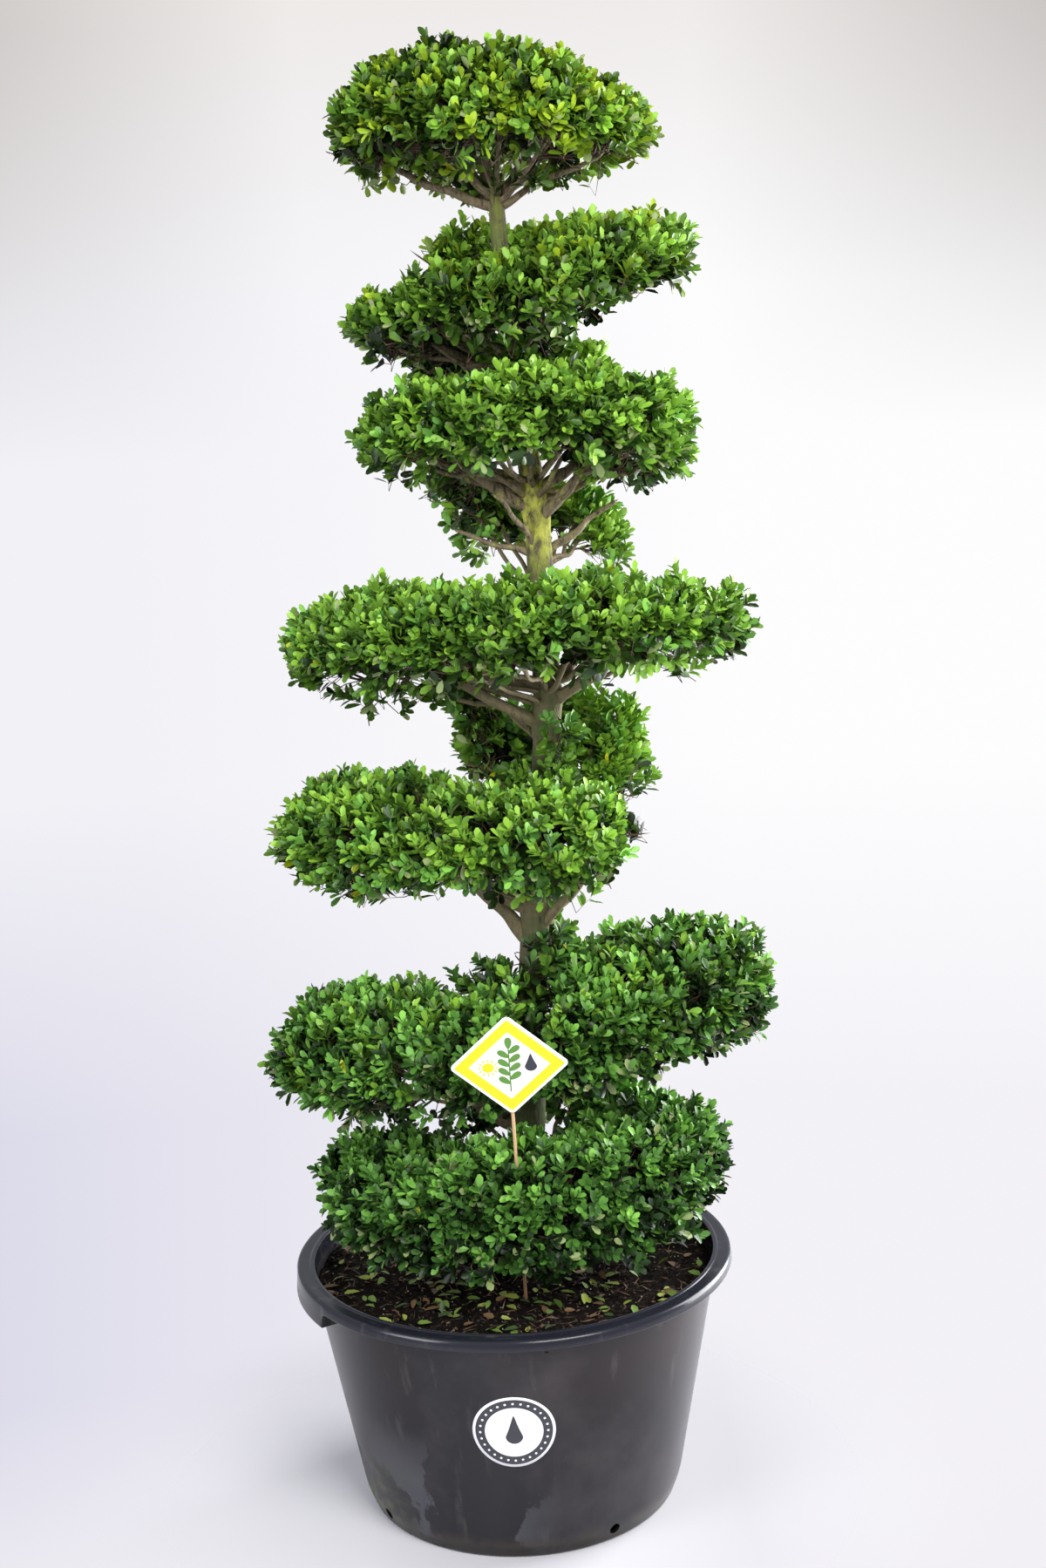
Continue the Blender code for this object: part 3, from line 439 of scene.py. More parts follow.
rib_out = outward(RIB_TURNS)
rib_side = np.cross(UP, rib_out)
rib_section = ((-0.002, 0.001), (RIB_REACH, 0.001), (RIB_REACH, -0.003), (-0.002, -RIB_DEPTH))
rib_corners = np.array([(r, side, z) for side in (-1, 1) for r, z in rib_section])
rib_points = (
    rib_out[:, None] * (wall_radius(TUB_UNDER_RIM) + rib_corners[None, :, 0:1])
    + rib_side[:, None] * (rib_corners[None, :, 1:2] * RIB_HALF_WIDTH)
    + UP * (TUB_UNDER_RIM + rib_corners[None, :, 2:3])
)
rib_faces = repeated(np.array([
    (0, 1, 2, 3), (7, 6, 5, 4), (0, 4, 5, 1), (1, 5, 6, 2), (2, 6, 7, 3), (3, 7, 4, 0),
]), 8, len(RIB_TURNS))
ribs = new_piece("rim_ribs", rib_points.reshape(-1, 3), rib_faces, [tub_finish], smooth=False)
edges = ribs.modifiers.new("edges", "BEVEL")
edges.width = RIB_BEVEL
edges.segments = 2
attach(ribs, "root")


# ---------------------------------------------------------------- sticker
# A round vinyl sticker on the front of the wall: white, with a dark band of dots round a
# plain water drop. It is pressed onto the wall and follows its curve.

STICKER_HEIGHT = 0.2315
STICKER_TURN = -91.5
STICKER_RADIUS = 0.0625
STICKER_THICKNESS = 0.00025
STICKER_PRINT_LIFT = 0.00012
STICKER_SINK = 0.0002  # how far its edge goes into the wall
STICKER_BAND = (0.70, 0.93)
STICKER_COLUMNS = 96
STICKER_DOTS = 28
STICKER_DOT_RADIUS = 0.0019
VINYL_COLOUR = (0.80, 0.80, 0.83)
DROP_RADIUS = 0.34
DROP_POINT = 0.95
DROP_SIZE, DROP_MIDDLE = 0.62, -0.12


def on_wall(flat, lift):
    """A flat point (across, up) laid on the tub's wall, the lift off it."""
    slope = (TUB_SHOULDER - TUB_HEEL) / (TUB_UNDER_RIM - TUB_HEEL_HEIGHT)
    height = STICKER_HEIGHT + flat[..., 1] / np.sqrt(1 + slope ** 2)
    radius = wall_radius(height)
    turn = STICKER_TURN + np.degrees(flat[..., 0] / wall_radius(STICKER_HEIGHT))
    return polar(radius + lift, turn, height - lift * slope)


def disc(radii, count):
    """Rings of flat points round the origin, and triangles between them; the first is 0."""
    rings = ring(count)[None] * np.asarray(radii[1:])[:, None, None]
    index = 1 + np.arange(rings.shape[0] * count).reshape(-1, count)
    beside = np.roll(index, -1, axis=1)
    faces = [np.stack([np.zeros(count, int), index[0], beside[0]], -1)]
    faces += split_quads(index[:-1], index[1:], beside[1:], beside[:-1])
    return np.concatenate([[(0.0, 0.0)], rings.reshape(-1, 2)]), np.concatenate(faces)


def drop_outline(radius, point, count=48):
    """A drop, a circle below that is drawn up to a point: x = r sin a (1 - 0.62 p) and
    y = r cos a (1 - p) + p h cos a, where p grows from 0 to 1 towards the top."""
    c, s = ring(count).T
    pull = np.clip((c + 0.15) / 1.15, 0, 1) ** 1.6
    return np.stack([radius * s * (1 - 0.62 * pull), radius * c * (1 - pull) + pull * (point * c)], -1)


def fan(outline, centre):
    """Triangles from the centre to an outline."""
    a = np.arange(len(outline))
    faces = np.stack([np.full(len(a), len(a)), (a + 1) % len(a), a], -1)
    return np.concatenate([outline, [centre]]), faces


def joined(parts):
    """One array of corners and one of faces from several, in order."""
    offsets = np.cumsum([0] + [len(points) for points, _ in parts[:-1]])
    return (np.concatenate([points for points, _ in parts]),
            np.concatenate([faces + offset for (_, faces), offset in zip(parts, offsets)]))


white_vinyl, tree, shader = new_finish("white_vinyl", VINYL_COLOUR, 0.32)
dirt = patch(tree, 60.0, 0.30, 0.3)
colour = layered(tree, VINYL_COLOUR, (DUST_COLOUR, dirt, 0.16))
dress(tree, shader, colour, Scale=2200.0, Depth=0.00001)
dark_ink, tree, shader = new_finish("dark_ink", (0.030, 0.032, 0.040), 0.36)
dress(tree, shader, Scale=2200.0, Depth=0.00001)

sheet_flat, sheet_faces = disc(np.linspace(0, STICKER_RADIUS, 9), STICKER_COLUMNS)
sheet_points = np.concatenate([
    on_wall(sheet_flat, STICKER_THICKNESS), on_wall(sheet_flat[-STICKER_COLUMNS:], -STICKER_SINK),
])
rim = np.arange(len(sheet_flat) - STICKER_COLUMNS, len(sheet_flat))
under = rim + STICKER_COLUMNS
edge = split_quads(rim, under, np.roll(under, -1), np.roll(rim, -1))
sticker = new_piece("sticker", sheet_points, np.concatenate([sheet_faces, *edge]), [white_vinyl])
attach(sticker, "root")

band_flat, band_faces = disc([0, *(STICKER_RADIUS * np.linspace(*STICKER_BAND, 4))], STICKER_COLUMNS)
drop_centre = (0.0, DROP_MIDDLE * STICKER_RADIUS)
drop = drop_outline(DROP_RADIUS, DROP_POINT) * STICKER_RADIUS * DROP_SIZE + drop_centre
ink_flat, ink_faces = joined([(band_flat, band_faces[STICKER_COLUMNS:]), fan(drop, drop_centre)])
ink_points = on_wall(ink_flat, STICKER_THICKNESS + STICKER_PRINT_LIFT)
dot_flat, dot_faces = disc([0, STICKER_DOT_RADIUS], 12)
dots = dot_flat[None] + STICKER_RADIUS * sum(STICKER_BAND) / 2 * ring(STICKER_DOTS)[:, None]
dot_points = on_wall(dots.reshape(-1, 2), STICKER_THICKNESS + 2 * STICKER_PRINT_LIFT)
dot_faces = repeated(dot_faces, len(dot_flat), STICKER_DOTS)
sticker_print = new_piece(
    "sticker_print", *joined([(ink_points, ink_faces), (dot_points, dot_faces)]),
    [dark_ink, white_vinyl], np.repeat([0, 1], [len(ink_faces), len(dot_faces)]),
)
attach(sticker_print, "root")


# ---------------------------------------------------------------- soil
# Dark potting mix of peat and composted bark, lumpy on top and a little lower at the wall,
# strewn with bark chips, fibres, white grit and clippings of leaves.

SOIL_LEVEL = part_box("soil")[1][2]
SOIL_EDGE = SOIL_LEVEL - 0.004
SOIL_FLAT = 0.12
SOIL_GAP = 0.0006  # between the soil and the wall
SOIL_FOOT = 0.0075
SOIL_SINK, SOIL_FALL = 0.002, 0.003  # of its top in the middle, and from there to the wall
SOIL_RINGS = 130
SOIL_COLUMNS = 300
SOIL_LUMPS = 0.0035
CHIPS = 1500
FIBRES = 420
GRIT = 170
CHIP_LIFT = 0.0008
SEED = 21


def swell(points, wavelength, seed, count=28):
    """A smooth random height, mostly within -1 and 1: the sum of sines of the points along
    seeded directions, near the wavelength, over the square root of their number."""
    rng = np.random.default_rng(seed)
    ways = unit(rng.normal(size=(count, 3))).T
    rates = 2 * np.pi / wavelength * rng.uniform(0.6, 1.5, count)
    phases = rng.uniform(0, 2 * np.pi, count)
    return np.sin(points @ (ways * rates) + phases).sum(-1) / np.sqrt(count)


def soil_height(points):
    """Height of the soil: level in the middle, falling to the wall, with lumps."""
    flat = np.hypot(points[..., 0], points[..., 1])
    fall = np.clip((flat - SOIL_FLAT) / (wall_radius(SOIL_EDGE) - SOIL_FLAT), 0, 1)
    lumps = 0.5 * swell(points, 0.05, 1) + 0.45 * swell(points, 0.016, 2)
    crumbs = 0.30 * np.abs(swell(points, 0.006, 3))
    shape = np.clip(lumps + crumbs - 0.35, -1.5, 0.55)
    return SOIL_LEVEL - SOIL_SINK - SOIL_FALL * fall + SOIL_LUMPS * shape


soil_edge = wall_radius(SOIL_EDGE) - TUB_WALL - SOIL_GAP
soil_radii = soil_edge * np.linspace(0.01, 1, SOIL_RINGS)
soil_turns = np.arange(SOIL_COLUMNS) * 360 / SOIL_COLUMNS
soil_top = polar(soil_radii[:, None], soil_turns[None, :], 0.0)
soil_top[..., 2] = soil_height(soil_top)
soil_foot = polar(TUB_FOOT - TUB_WALL - SOIL_GAP, soil_turns, SOIL_FOOT)[None]
soil_points, soil_faces = turned_shell(
    np.concatenate([soil_top, soil_foot]), (0, 0, SOIL_LEVEL - 0.003), (0, 0, SOIL_FOOT)
)
soil_finish, tree, shader = new_finish("potting_soil", (0.008, 0.006, 0.005), 0.95,
                                       Specular_IOR_Level=0.05)
colour = layered(
    tree, (0.0055, 0.0042, 0.0036),
    ((0.026, 0.017, 0.011), patch(tree, 120.0, 0.42, 0.1)),
    ((0.15, 0.105, 0.07), patch(tree, 420.0, 0.14, 0.05), 0.55),
)
dress(tree, shader, colour, Scale=420.0, Depth=0.0012)
soil = new_piece("soil_bed", soil_points, soil_faces, [soil_finish])
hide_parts("soil")
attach(soil, "root")


def on_soil(rng, count, inner=0.06, outer=0.985):
    """Seeded places on the soil, evenly spread over its area."""
    radius = soil_edge * np.sqrt(rng.uniform(inner ** 2, outer ** 2, count))
    points = polar(radius, rng.uniform(0, 360, count), 0.0)
    points[:, 2] = soil_height(points)
    return points


def chunks(centres, sizes, rng):
    """Six-cornered lumps: a pointed end each way along three square axes of seeded turn."""
    first = unit(rng.normal(size=centres.shape) * (1, 1, 0.35))
    second = unit(np.cross(first, rng.normal(size=centres.shape)))
    third = np.cross(first, second)
    axes = np.stack([first, second, third], 1) * sizes[:, :, None]
    points = centres[:, None] + np.concatenate([axes, -axes], 1)
    one = np.array([
        (0, 1, 2), (1, 3, 2), (3, 4, 2), (4, 0, 2), (1, 0, 5), (3, 1, 5), (4, 3, 5), (0, 4, 5),
    ])
    return points.reshape(-1, 3), repeated(one, 6, len(centres))


rng = np.random.default_rng(SEED)
chip_places = on_soil(rng, CHIPS + FIBRES + GRIT)
chip_places[:, 2] += CHIP_LIFT
chip_sizes = np.concatenate([
    rng.uniform(*lengths, (many, 1)) * rng.uniform(0.7, 1.2, (many, 3)) * shape
    for many, lengths, shape in (
        (CHIPS, (0.0022, 0.0060), (1, 0.5, 0.3)),
        (FIBRES, (0.008, 0.020), (1, 0.07, 0.06)),
        (GRIT, (0.0008, 0.0018), (1, 1, 1)),
    )
])
chip_points, chip_faces = chunks(chip_places, chip_sizes, rng)
CHIP_COLOURS = {
    "bark_chip": (0.042, 0.025, 0.015),
    "dark_crumb": (0.007, 0.005, 0.004),
    "red_fibre": (0.110, 0.060, 0.032),
    "pale_fibre": (0.200, 0.140, 0.085),
    "white_grit": (0.34, 0.32, 0.28),
}
chip_finishes = []
for name, tone in CHIP_COLOURS.items():
    finish, tree, shader = new_finish(name, tone, 0.9)
    darker = tuple(0.55 * value for value in tone)
    dress(tree, shader, layered(tree, tone, (darker, patch(tree, 600.0, 0.5, 0.2))))
    chip_finishes.append(finish)
chip_kind = np.concatenate([
    rng.choice([0, 1, 2], CHIPS, p=[0.35, 0.5, 0.15]),
    rng.choice([0, 2, 3], FIBRES, p=[0.35, 0.4, 0.25]),
    np.full(GRIT, 4),
])
crumbs = new_piece("soil_crumbs", chip_points, chip_faces, chip_finishes,
                   np.repeat(chip_kind, 8), smooth=False)
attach(crumbs, "root")


# ---------------------------------------------------------------- trunk
# One woody stem, bowed to the right half way up, with a root flare in the soil. Its bark is
# grey tan with shallow upright furrows, swollen where boughs leave, and green with algae.

TRUNK_LINE = np.array((  # height, sideways place of its centre, radius
    (SOIL_LEVEL, 0.014, 0.042),
    (0.395, 0.017, 0.034),
    (0.450, 0.022, 0.028),
    (0.660, 0.038, 0.0245),
    (0.930, 0.056, 0.0220),
    (1.260, 0.092, 0.0215),
    (1.550, 0.088, 0.0190),
    (1.815, 0.062, 0.0150),
    (1.965, 0.048, 0.0125),
    (2.050, 0.046, 0.0110),
))
TRUNK_SMOOTHING = 0.06
TRUNK_ROWS = 560
TRUNK_COLUMNS = 60
FLUTES, FLUTE_RISE, FLUTE_DEPTH = 5, 0.035, 0.16  # of the root flare
BARK_RELIEF = 0.0015
COLLAR = 0.006  # how far a bough's collar swells
COLLAR_ABOVE, COLLAR_HEIGHT, COLLAR_ARC = 0.012, 0.022, 0.55  # its middle over the root, its size
LIMB_STATIONS = 18


def trunk_x(height):
    return np.interp(height, TRUNK_LINE[:, 0], TRUNK_LINE[:, 1])


def trunk_radius(height):
    return np.interp(height, TRUNK_LINE[:, 0], TRUNK_LINE[:, 2])


def trunk_axis(height):
    """Centre of the trunk, its bends eased by the mean of five places above and below."""
    reach = np.minimum(TRUNK_SMOOTHING, np.minimum(
        height - TRUNK_LINE[0, 0], TRUNK_LINE[-1, 0] - height))
    steps = np.linspace(-1, 1, 5)
    x = trunk_x(height[..., None] + np.maximum(reach, 0)[..., None] * steps).mean(-1)
    return np.stack([x, np.zeros_like(x), height], -1)


def furrows(length, turn, seed, size):
    """Relief of bark at a length along a limb and a turn round it: upright ridges that waver,
    from sines of the turn whose phase drifts with the length."""
    rng = np.random.default_rng(seed)
    total = np.zeros(np.broadcast(length, turn).shape)
    for waves in (5, 9, 14, 21):
        drift = swell(np.stack([length * 1.0, length * 0 + waves, length * 0], -1), 0.11, seed + waves)
        total += np.sin(waves * turn + 2.4 * drift + rng.uniform(0, 6)) / np.sqrt(waves)
    fine = np.sin(2 * np.pi * length / 0.006 + 3 * np.sin(3 * turn)) * 0.12
    return size * (total * 0.5 + fine)


# The ribbon of foliage: for each tier its left, front, right and back value of the middle
# height, the depth and the reach from the trunk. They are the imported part's, apart from the
# third tier's right end, which is drawn in. Behind, a tier climbs between two turns, in
# degrees past its right.
TIERS = {
    "skirt": ((0.522, 0.535, 0.545, 0.640), (0.195, 0.250, 0.235, 0.170),
              (0.343, 0.273, 0.330, 0.248)),
    "tier_2": ((0.748, 0.778, 0.842, 1.035), (0.228, 0.205, 0.225, 0.115),
              (0.428, 0.256, 0.384, 0.138)),
    "tier_3": ((1.100, 1.100, 1.085, 1.200), (0.210, 0.180, 0.145, 0.175),
              (0.422, 0.288, 0.098, 0.204)),
    "tier_4": ((1.380, 1.420, 1.398, 1.555), (0.195, 0.175, 0.154, 0.140),
              (0.406, 0.338, 0.316, 0.198)),
    "tier_5": ((1.695, 1.718, 1.683, 1.780), (0.160, 0.170, 0.182, 0.130),
              (0.260, 0.268, 0.265, 0.218)),
    "tier_6": ((1.852, 1.876, 1.948, 1.962), (0.110, 0.155, 0.150, 0.110),
              (0.262, 0.258, 0.298, 0.218)),
}
CLIMBS = np.array(((22, 50), (64, 90), (8, 38), (22, 50), (22, 50), (22, 50))).T
DRAW_IN, CLIMB_ON, SPREAD_OUT = (0, 29), (41, 68), (61, 90)
STATIONS = np.concatenate([np.array(rows) for rows in TIERS.values()], axis=1)
INNER_REACH = 0.065
RIBBON_START, RIBBON_END = 158, 180 + 5 * 360 + 310
NOSE_ARC, NOSE_LEAST = 26, 0.35
SECTION_POWER = 2.25
SIDES = {"left": (-40, 86, 22), "right": (86, 205, 148), "back": (205, 320, 265)}
BOUGH_ROOT, BOUGH_TIP = 0.0110, 0.0045
BOUGH_DROP, BOUGH_DIP, BOUGH_ELBOW = 0.045, 0.012, 0.36


def within(past, start, end):
    return np.clip((past - start) / (end - start), 0, 1)


def ribbon(turn):
    """Centre radius, half width, middle height and half depth of the ribbon at turns. Each
    passes between its quarter turn stations by s^2 (3 - 2s). Behind the trunk the ribbon draws
    in, climbs to its back height, climbs on to the next tier, and widens again."""
    quarter = (np.asarray(turn, float) - 180) / 90
    step = np.clip(np.floor(quarter).astype(int), 0, STATIONS.shape[1] - 2)
    share = np.clip(quarter - step, 0, 1)
    past, to_back, from_back = 90 * share, step % 4 == 2, step % 4 == 3
    climb = np.where(to_back, within(past, *CLIMBS[:, step // 4]), share)
    climb = np.where(from_back, within(past, *CLIMB_ON), climb)
    tuck = np.where(to_back, within(past, *DRAW_IN), share)
    tuck = np.where(from_back, within(past, *SPREAD_OUT), tuck)
    parts = np.stack([climb, tuck, tuck])
    eased = parts ** 2 * (3 - 2 * parts)
    middle, depth, reach = (
        row[step] + ease * (row[step + 1] - row[step]) for row, ease in zip(STATIONS, eased)
    )
    return (reach + INNER_REACH) / 2, (reach - INNER_REACH) / 2, middle, depth / 2


def bough_paths(turns, drop, dip, elbow, out, rise):
    """Limbs from the trunk into the ribbon at turns. They start on the trunk's axis, the drop
    below the mass. They bend at the elbow's share of the way out and the dip below the mass,
    and end in the mass, out and rise in shares of its half width and depth."""
    radius, half_width, middle, half_depth = ribbon(turns)
    low = middle - half_depth
    root = np.maximum(low - drop, SOIL_LEVEL + 0.020)
    start = np.stack([trunk_x(root), 0 * root, root], -1)
    centre = trunk_x(middle)
    way = outward(turns)
    bend = way * (radius * elbow)[:, None]
    bend += np.stack([centre, 0 * centre, np.maximum(low - dip, root + 0.004)], -1)
    end = way * (radius + half_width * out)[:, None]
    end += np.stack([centre, 0 * centre, middle + half_depth * rise], -1)
    return bow(start, bend, end, LIMB_STATIONS)


mass_names = [f"{tier}_{side}" for tier in TIERS for side in SIDES]
lefts = np.repeat(180 + 360 * np.arange(len(TIERS)), len(SIDES))
spans = np.tile(np.array(list(SIDES.values())), (len(TIERS), 1))
mass_starts = np.maximum(lefts + spans[:, 0], RIBBON_START)
mass_ends = np.minimum(lefts + spans[:, 1], RIBBON_END)
bough_turns = lefts + spans[:, 2]
main_boughs = bough_paths(bough_turns, BOUGH_DROP, BOUGH_DIP, BOUGH_ELBOW, 0, 0)
trunk_rows = TRUNK_LINE[0, 0] + np.linspace(0, 1, TRUNK_ROWS) * np.ptp(TRUNK_LINE[:, 0])
trunk_turns = np.arange(TRUNK_COLUMNS) * 2 * np.pi / TRUNK_COLUMNS
rows, columns = trunk_rows[:, None], trunk_turns[None, :]
collars = sum(
    np.exp(-((rows - root[2] - COLLAR_ABOVE) / COLLAR_HEIGHT) ** 2)
    * np.exp(-(((columns - np.radians(turn) + np.pi) % (2 * np.pi) - np.pi) / COLLAR_ARC) ** 2)
    for root, turn in zip(main_boughs[:, 0], bough_turns)
)
flutes = np.exp(-(rows - SOIL_LEVEL) / FLUTE_RISE) * np.cos(FLUTES * columns + 0.8) * FLUTE_DEPTH
girth = trunk_radius(rows) * (1 + flutes) + COLLAR * collars
girth = girth + furrows(rows, columns, 5, BARK_RELIEF)
trunk_rings = trunk_axis(trunk_rows)[:, None] + polar(girth, np.degrees(columns), 0.0)
trunk_points, trunk_faces = turned_shell(
    trunk_rings[::-1], trunk_axis(trunk_rows[-1:])[0], trunk_axis(trunk_rows[:1])[0]
)

BARK_COLOUR = (0.072, 0.062, 0.032)
BARK_DARK = (0.018, 0.014, 0.008)
BARK_PALE = (0.270, 0.225, 0.118)
# Algae low down and up high: the high one is greener, and far brighter as painted light.
ALGAE_LOW = (0.040, 0.078, 0.012)
ALGAE_HIGH = (0.470, 0.480, 0.070)
BARK_FORKS = (  # heights where the bark at a fork begins and is full, and is full and ends
    ((1.46, 1.54), (1.80, 1.66)), ((1.16, 1.26), (1.40, 1.34)), ((0.86, 0.93), (1.05, 1.00)),
)


def bark(name, plain, algae_cover, scale):
    """Bark: dark in the furrows, pale flakes, and algae in patches of the given cover. Its algae is
    greener at the highest fork and the neck, and painted far brighter there as light, darker as
    shade lower down; the two forks below have pale bands of painted light."""
    finish, tree, shader = new_finish(name, plain, 0.82)
    dark = patch(tree, scale, 0.45, 0.12, 5.0)
    flake = patch(tree, scale * 0.7, 0.3, 0.1, 2.0)
    algae = patch(tree, 60.0, algae_cover, 0.2, 1.8)
    mottle = patch(tree, scale * 0.4, 0.5, 0.3, 1.4)
    lichen = patch(tree, scale * 3.2, 0.3, 0.08)
    crack = patch(tree, scale * 1.9, 0.26, 0.08, 4.0)
    z = object_axes(tree)["Z"]
    fork, middle_fork, low_fork = (
        product(tree, ramp(tree, z, *start), ramp(tree, z, *end)) for start, end in BARK_FORKS)
    painted_light_bands = maths(tree, "MAXIMUM", middle_fork, low_fork)
    # Where the algae is greener and painted as lit: the highest fork and the neck.
    greener_and_lit = maths(tree, "MAXIMUM", fork, ramp(tree, z, 1.94, 2.05, 0.0, 0.45))
    thick = product(tree, ramp(tree, greener_and_lit, 0.0, 1.0, 0.75, 0.95),
                    ramp(tree, painted_light_bands, 0.0, 1.0, 1.0, 0.60))
    colour = layered(
        tree, plain,
        (tuple(2.1 * part for part in plain), mottle, 0.8),
        (BARK_DARK, dark, 0.85),
        (BARK_PALE, flake, 0.55),
        # Pale bands at the two lower forks are painted light, where the trunk stands out of the shade.
        (BARK_PALE, painted_light_bands, 0.52),
        (blend(tree, greener_and_lit, ALGAE_LOW, ALGAE_HIGH), algae, thick),
        (BARK_PALE, lichen, 0.5),
        (BARK_DARK, crack, 0.9),
    )
    dress(tree, shader, colour, Scale=scale * 4, Depth=0.0018, Stretch=3.0)
    return finish


bark_finish = bark("trunk_bark", BARK_COLOUR, 0.74, 85.0)
trunk = new_piece("trunk_stem", trunk_points, trunk_faces, [bark_finish])
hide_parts("trunk")
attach(trunk, "root")


# ---------------------------------------------------------------- boughs
# Woody limbs that grow from the trunk a little below each tier and carry it, thicker ones
# where the trunk divides, and thinner side limbs that fan out under the leaves. All are
# round and tapering, with the trunk's bark.

SIDE_LIMBS = 8  # beside each main bough
SIDE_LIMB_ROOT, SIDE_LIMB_TIP = 0.0046, 0.0022
SIDE_LIMB_ROOMS = (  # least and most drop, dip, elbow, out and rise, as bough_paths has them
    (0.0, 0.05), (-0.02, 0.012), (0.3, 0.6), (-0.1, 0.5), (-0.6, 0.2),
)
CAP_CENTRE = np.array((0.046, 0.0, 2.130))
CAP_REACH, CAP_RISE, CAP_SAG = 0.244, 0.136, 0.096
CAP_POWER, CAP_LEAN = 1.88, 0.042  # its rounder top leans to the left
CAP_BOUGHS = np.array((  # turn, root radius, reach and rise
    (184, 0.0080, 0.190, 0.075), (-12, 0.0060, 0.165, 0.070),
))
CAP_FORK = 2.018
CAP_LIMBS = 16
CAP_BEND = (0.46, 0.034)  # how far out and up a cap limb bends, a share and a height
FORK_BEND = (0.42, 0.55)  # the same for a fork, both as shares
CAP_TAPER, FORK_TAPER = 0.55, 0.6
LIMB_WANDER = 0.006
LIMB_RELIEF = 0.16
GOLDEN_DEGREES = 137.5
LIMB_COLUMNS = 12
FORKS = np.array((  # thicker limbs where the trunk divides: root height, turn, reach, rise, radius
    (1.600, 196, 0.190, 0.085, 0.0088), (1.615, 118, 0.060, 0.150, 0.0100),
    (1.600, -18, 0.180, 0.080, 0.0092), (1.500, 176, 0.130, 0.050, 0.0062),
    (1.495, 8, 0.125, 0.090, 0.0072), (1.505, 232, 0.110, 0.100, 0.0060),
    (1.300, 190, 0.210, 0.060, 0.0125), (1.325, 204, 0.150, 0.070, 0.0085),
    (1.300, -25, 0.110, 0.110, 0.0120), (1.320, 262, 0.150, 0.080, 0.0080),
    (0.895, 188, 0.135, 0.150, 0.0135), (0.910, -16, 0.115, 0.125, 0.0110),
    (0.905, 228, 0.060, 0.150, 0.0085), (0.700, 200, 0.180, 0.060, 0.0095),
    (0.690, -20, 0.170, 0.090, 0.0095), (1.790, 190, 0.150, 0.055, 0.0070),
    (1.800, 215, 0.160, 0.050, 0.0058), (1.810, -22, 0.150, 0.100, 0.0066),
))


def tubes(paths, radii, sides, relief=None):
    """Tapering limbs, many at once: paths (limbs, stations, 3), and a radius or a row of them
    for the stations. The ring at a station is centre + radius (u cos a + v sin a), with u and
    v square to the way along the limb. The tip is drawn to a point and the root is closed."""
    limbs, stations = paths.shape[:2]
    ways = unit(np.gradient(paths, axis=1))
    lean = np.array((0.31, 0.17, 0.93))
    steep = np.abs((ways[:, :1] * lean).sum(-1, keepdims=True)) > 0.9
    u = unit(np.cross(ways, np.where(steep, (0.8, -0.6, 0.1), lean)))
    v = np.cross(ways, u)
    c, s = ring(sides).T
    size = np.broadcast_to(radii, (limbs, stations))[:, :-1, None]
    size = size * (1 if relief is None else relief[:, :-1])
    rings = paths[:, :-1, None] + size[..., None] * (
        u[:, :-1, None] * c[:, None] + v[:, :-1, None] * s[:, None])
    points = np.concatenate([rings.reshape(limbs, -1, 3), paths[:, -1:]], 1)
    index = np.arange((stations - 1) * sides).reshape(stations - 1, sides)
    beside = np.roll(index, -1, axis=1)
    root = np.arange(1, sides - 1)
    faces = np.concatenate(split_quads(index[:-1], beside[:-1], beside[1:], index[1:]) + [
        np.stack([index[-1], beside[-1], np.full(sides, (stations - 1) * sides)], -1),
        np.stack([0 * root, root + 1, root], -1),
    ])
    return points.reshape(-1, 3), repeated(faces, points.shape[1], limbs)


def wander(paths, amount, seed):
    """Bends limbs a little to and fro, least at the root and the tip."""
    share = np.linspace(0, 1, paths.shape[1])[None, :, None]
    shift = np.stack([swell(paths, 0.09, seed + k) for k in range(3)], -1)
    return paths + shift * amount * np.sin(np.pi * share) ** 0.7


def reaching(start, bend, end):
    """Limbs A + 2t(1-t) B + t^2 C, with B and C measured from their starts A."""
    t = np.linspace(0, 1, LIMB_STATIONS)[None, :, None]
    return start[:, None] + 2 * t * (1 - t) * bend[:, None] + t ** 2 * end[:, None]


rng = np.random.default_rng(SEED + 1)
side_turns = np.concatenate([
    start + (end - start) * (np.arange(SIDE_LIMBS) + rng.uniform(0.2, 0.8, SIDE_LIMBS)) / SIDE_LIMBS
    for start, end in zip(mass_starts, mass_ends)
])
side_limbs = wander(bough_paths(
    side_turns, *(rng.uniform(*room, len(side_turns)) for room in SIDE_LIMB_ROOMS)), LIMB_WANDER, 40)

turn, girth, reach, rise = CAP_BOUGHS.T
cap_turns = np.append(turn, np.arange(CAP_LIMBS) * GOLDEN_DEGREES + rng.uniform(-15, 15, CAP_LIMBS))
cap_girth = np.append(girth, np.full(CAP_LIMBS, SIDE_LIMB_ROOT))
cap_reach = np.append(reach, rng.uniform(0.05, 0.190, CAP_LIMBS))
cap_rise = np.append(rise, rng.uniform(0.075, 0.17, CAP_LIMBS))
cap_root = CAP_FORK + np.append((0, 0), rng.uniform(0.0, 0.03, CAP_LIMBS))
cap_start = np.stack([trunk_x(CAP_FORK) + 0 * cap_root, 0 * cap_root, cap_root], -1)
cap_out = outward(cap_turns) * cap_reach[:, None]
cap_limbs = wander(reaching(
    cap_start, cap_out * CAP_BEND[0] + UP * CAP_BEND[1], cap_out + UP * cap_rise[:, None]), 0.004, 47)

fork_root, fork_turn, fork_reach, fork_rise, fork_girth = FORKS.T
fork_start = np.stack([trunk_x(fork_root), 0 * fork_root, fork_root], -1)
fork_out, fork_up = outward(fork_turn) * fork_reach[:, None], UP * fork_rise[:, None]
fork_limbs = wander(reaching(
    fork_start, fork_out * FORK_BEND[0] + fork_up * FORK_BEND[1], fork_out + fork_up), LIMB_WANDER, 50)

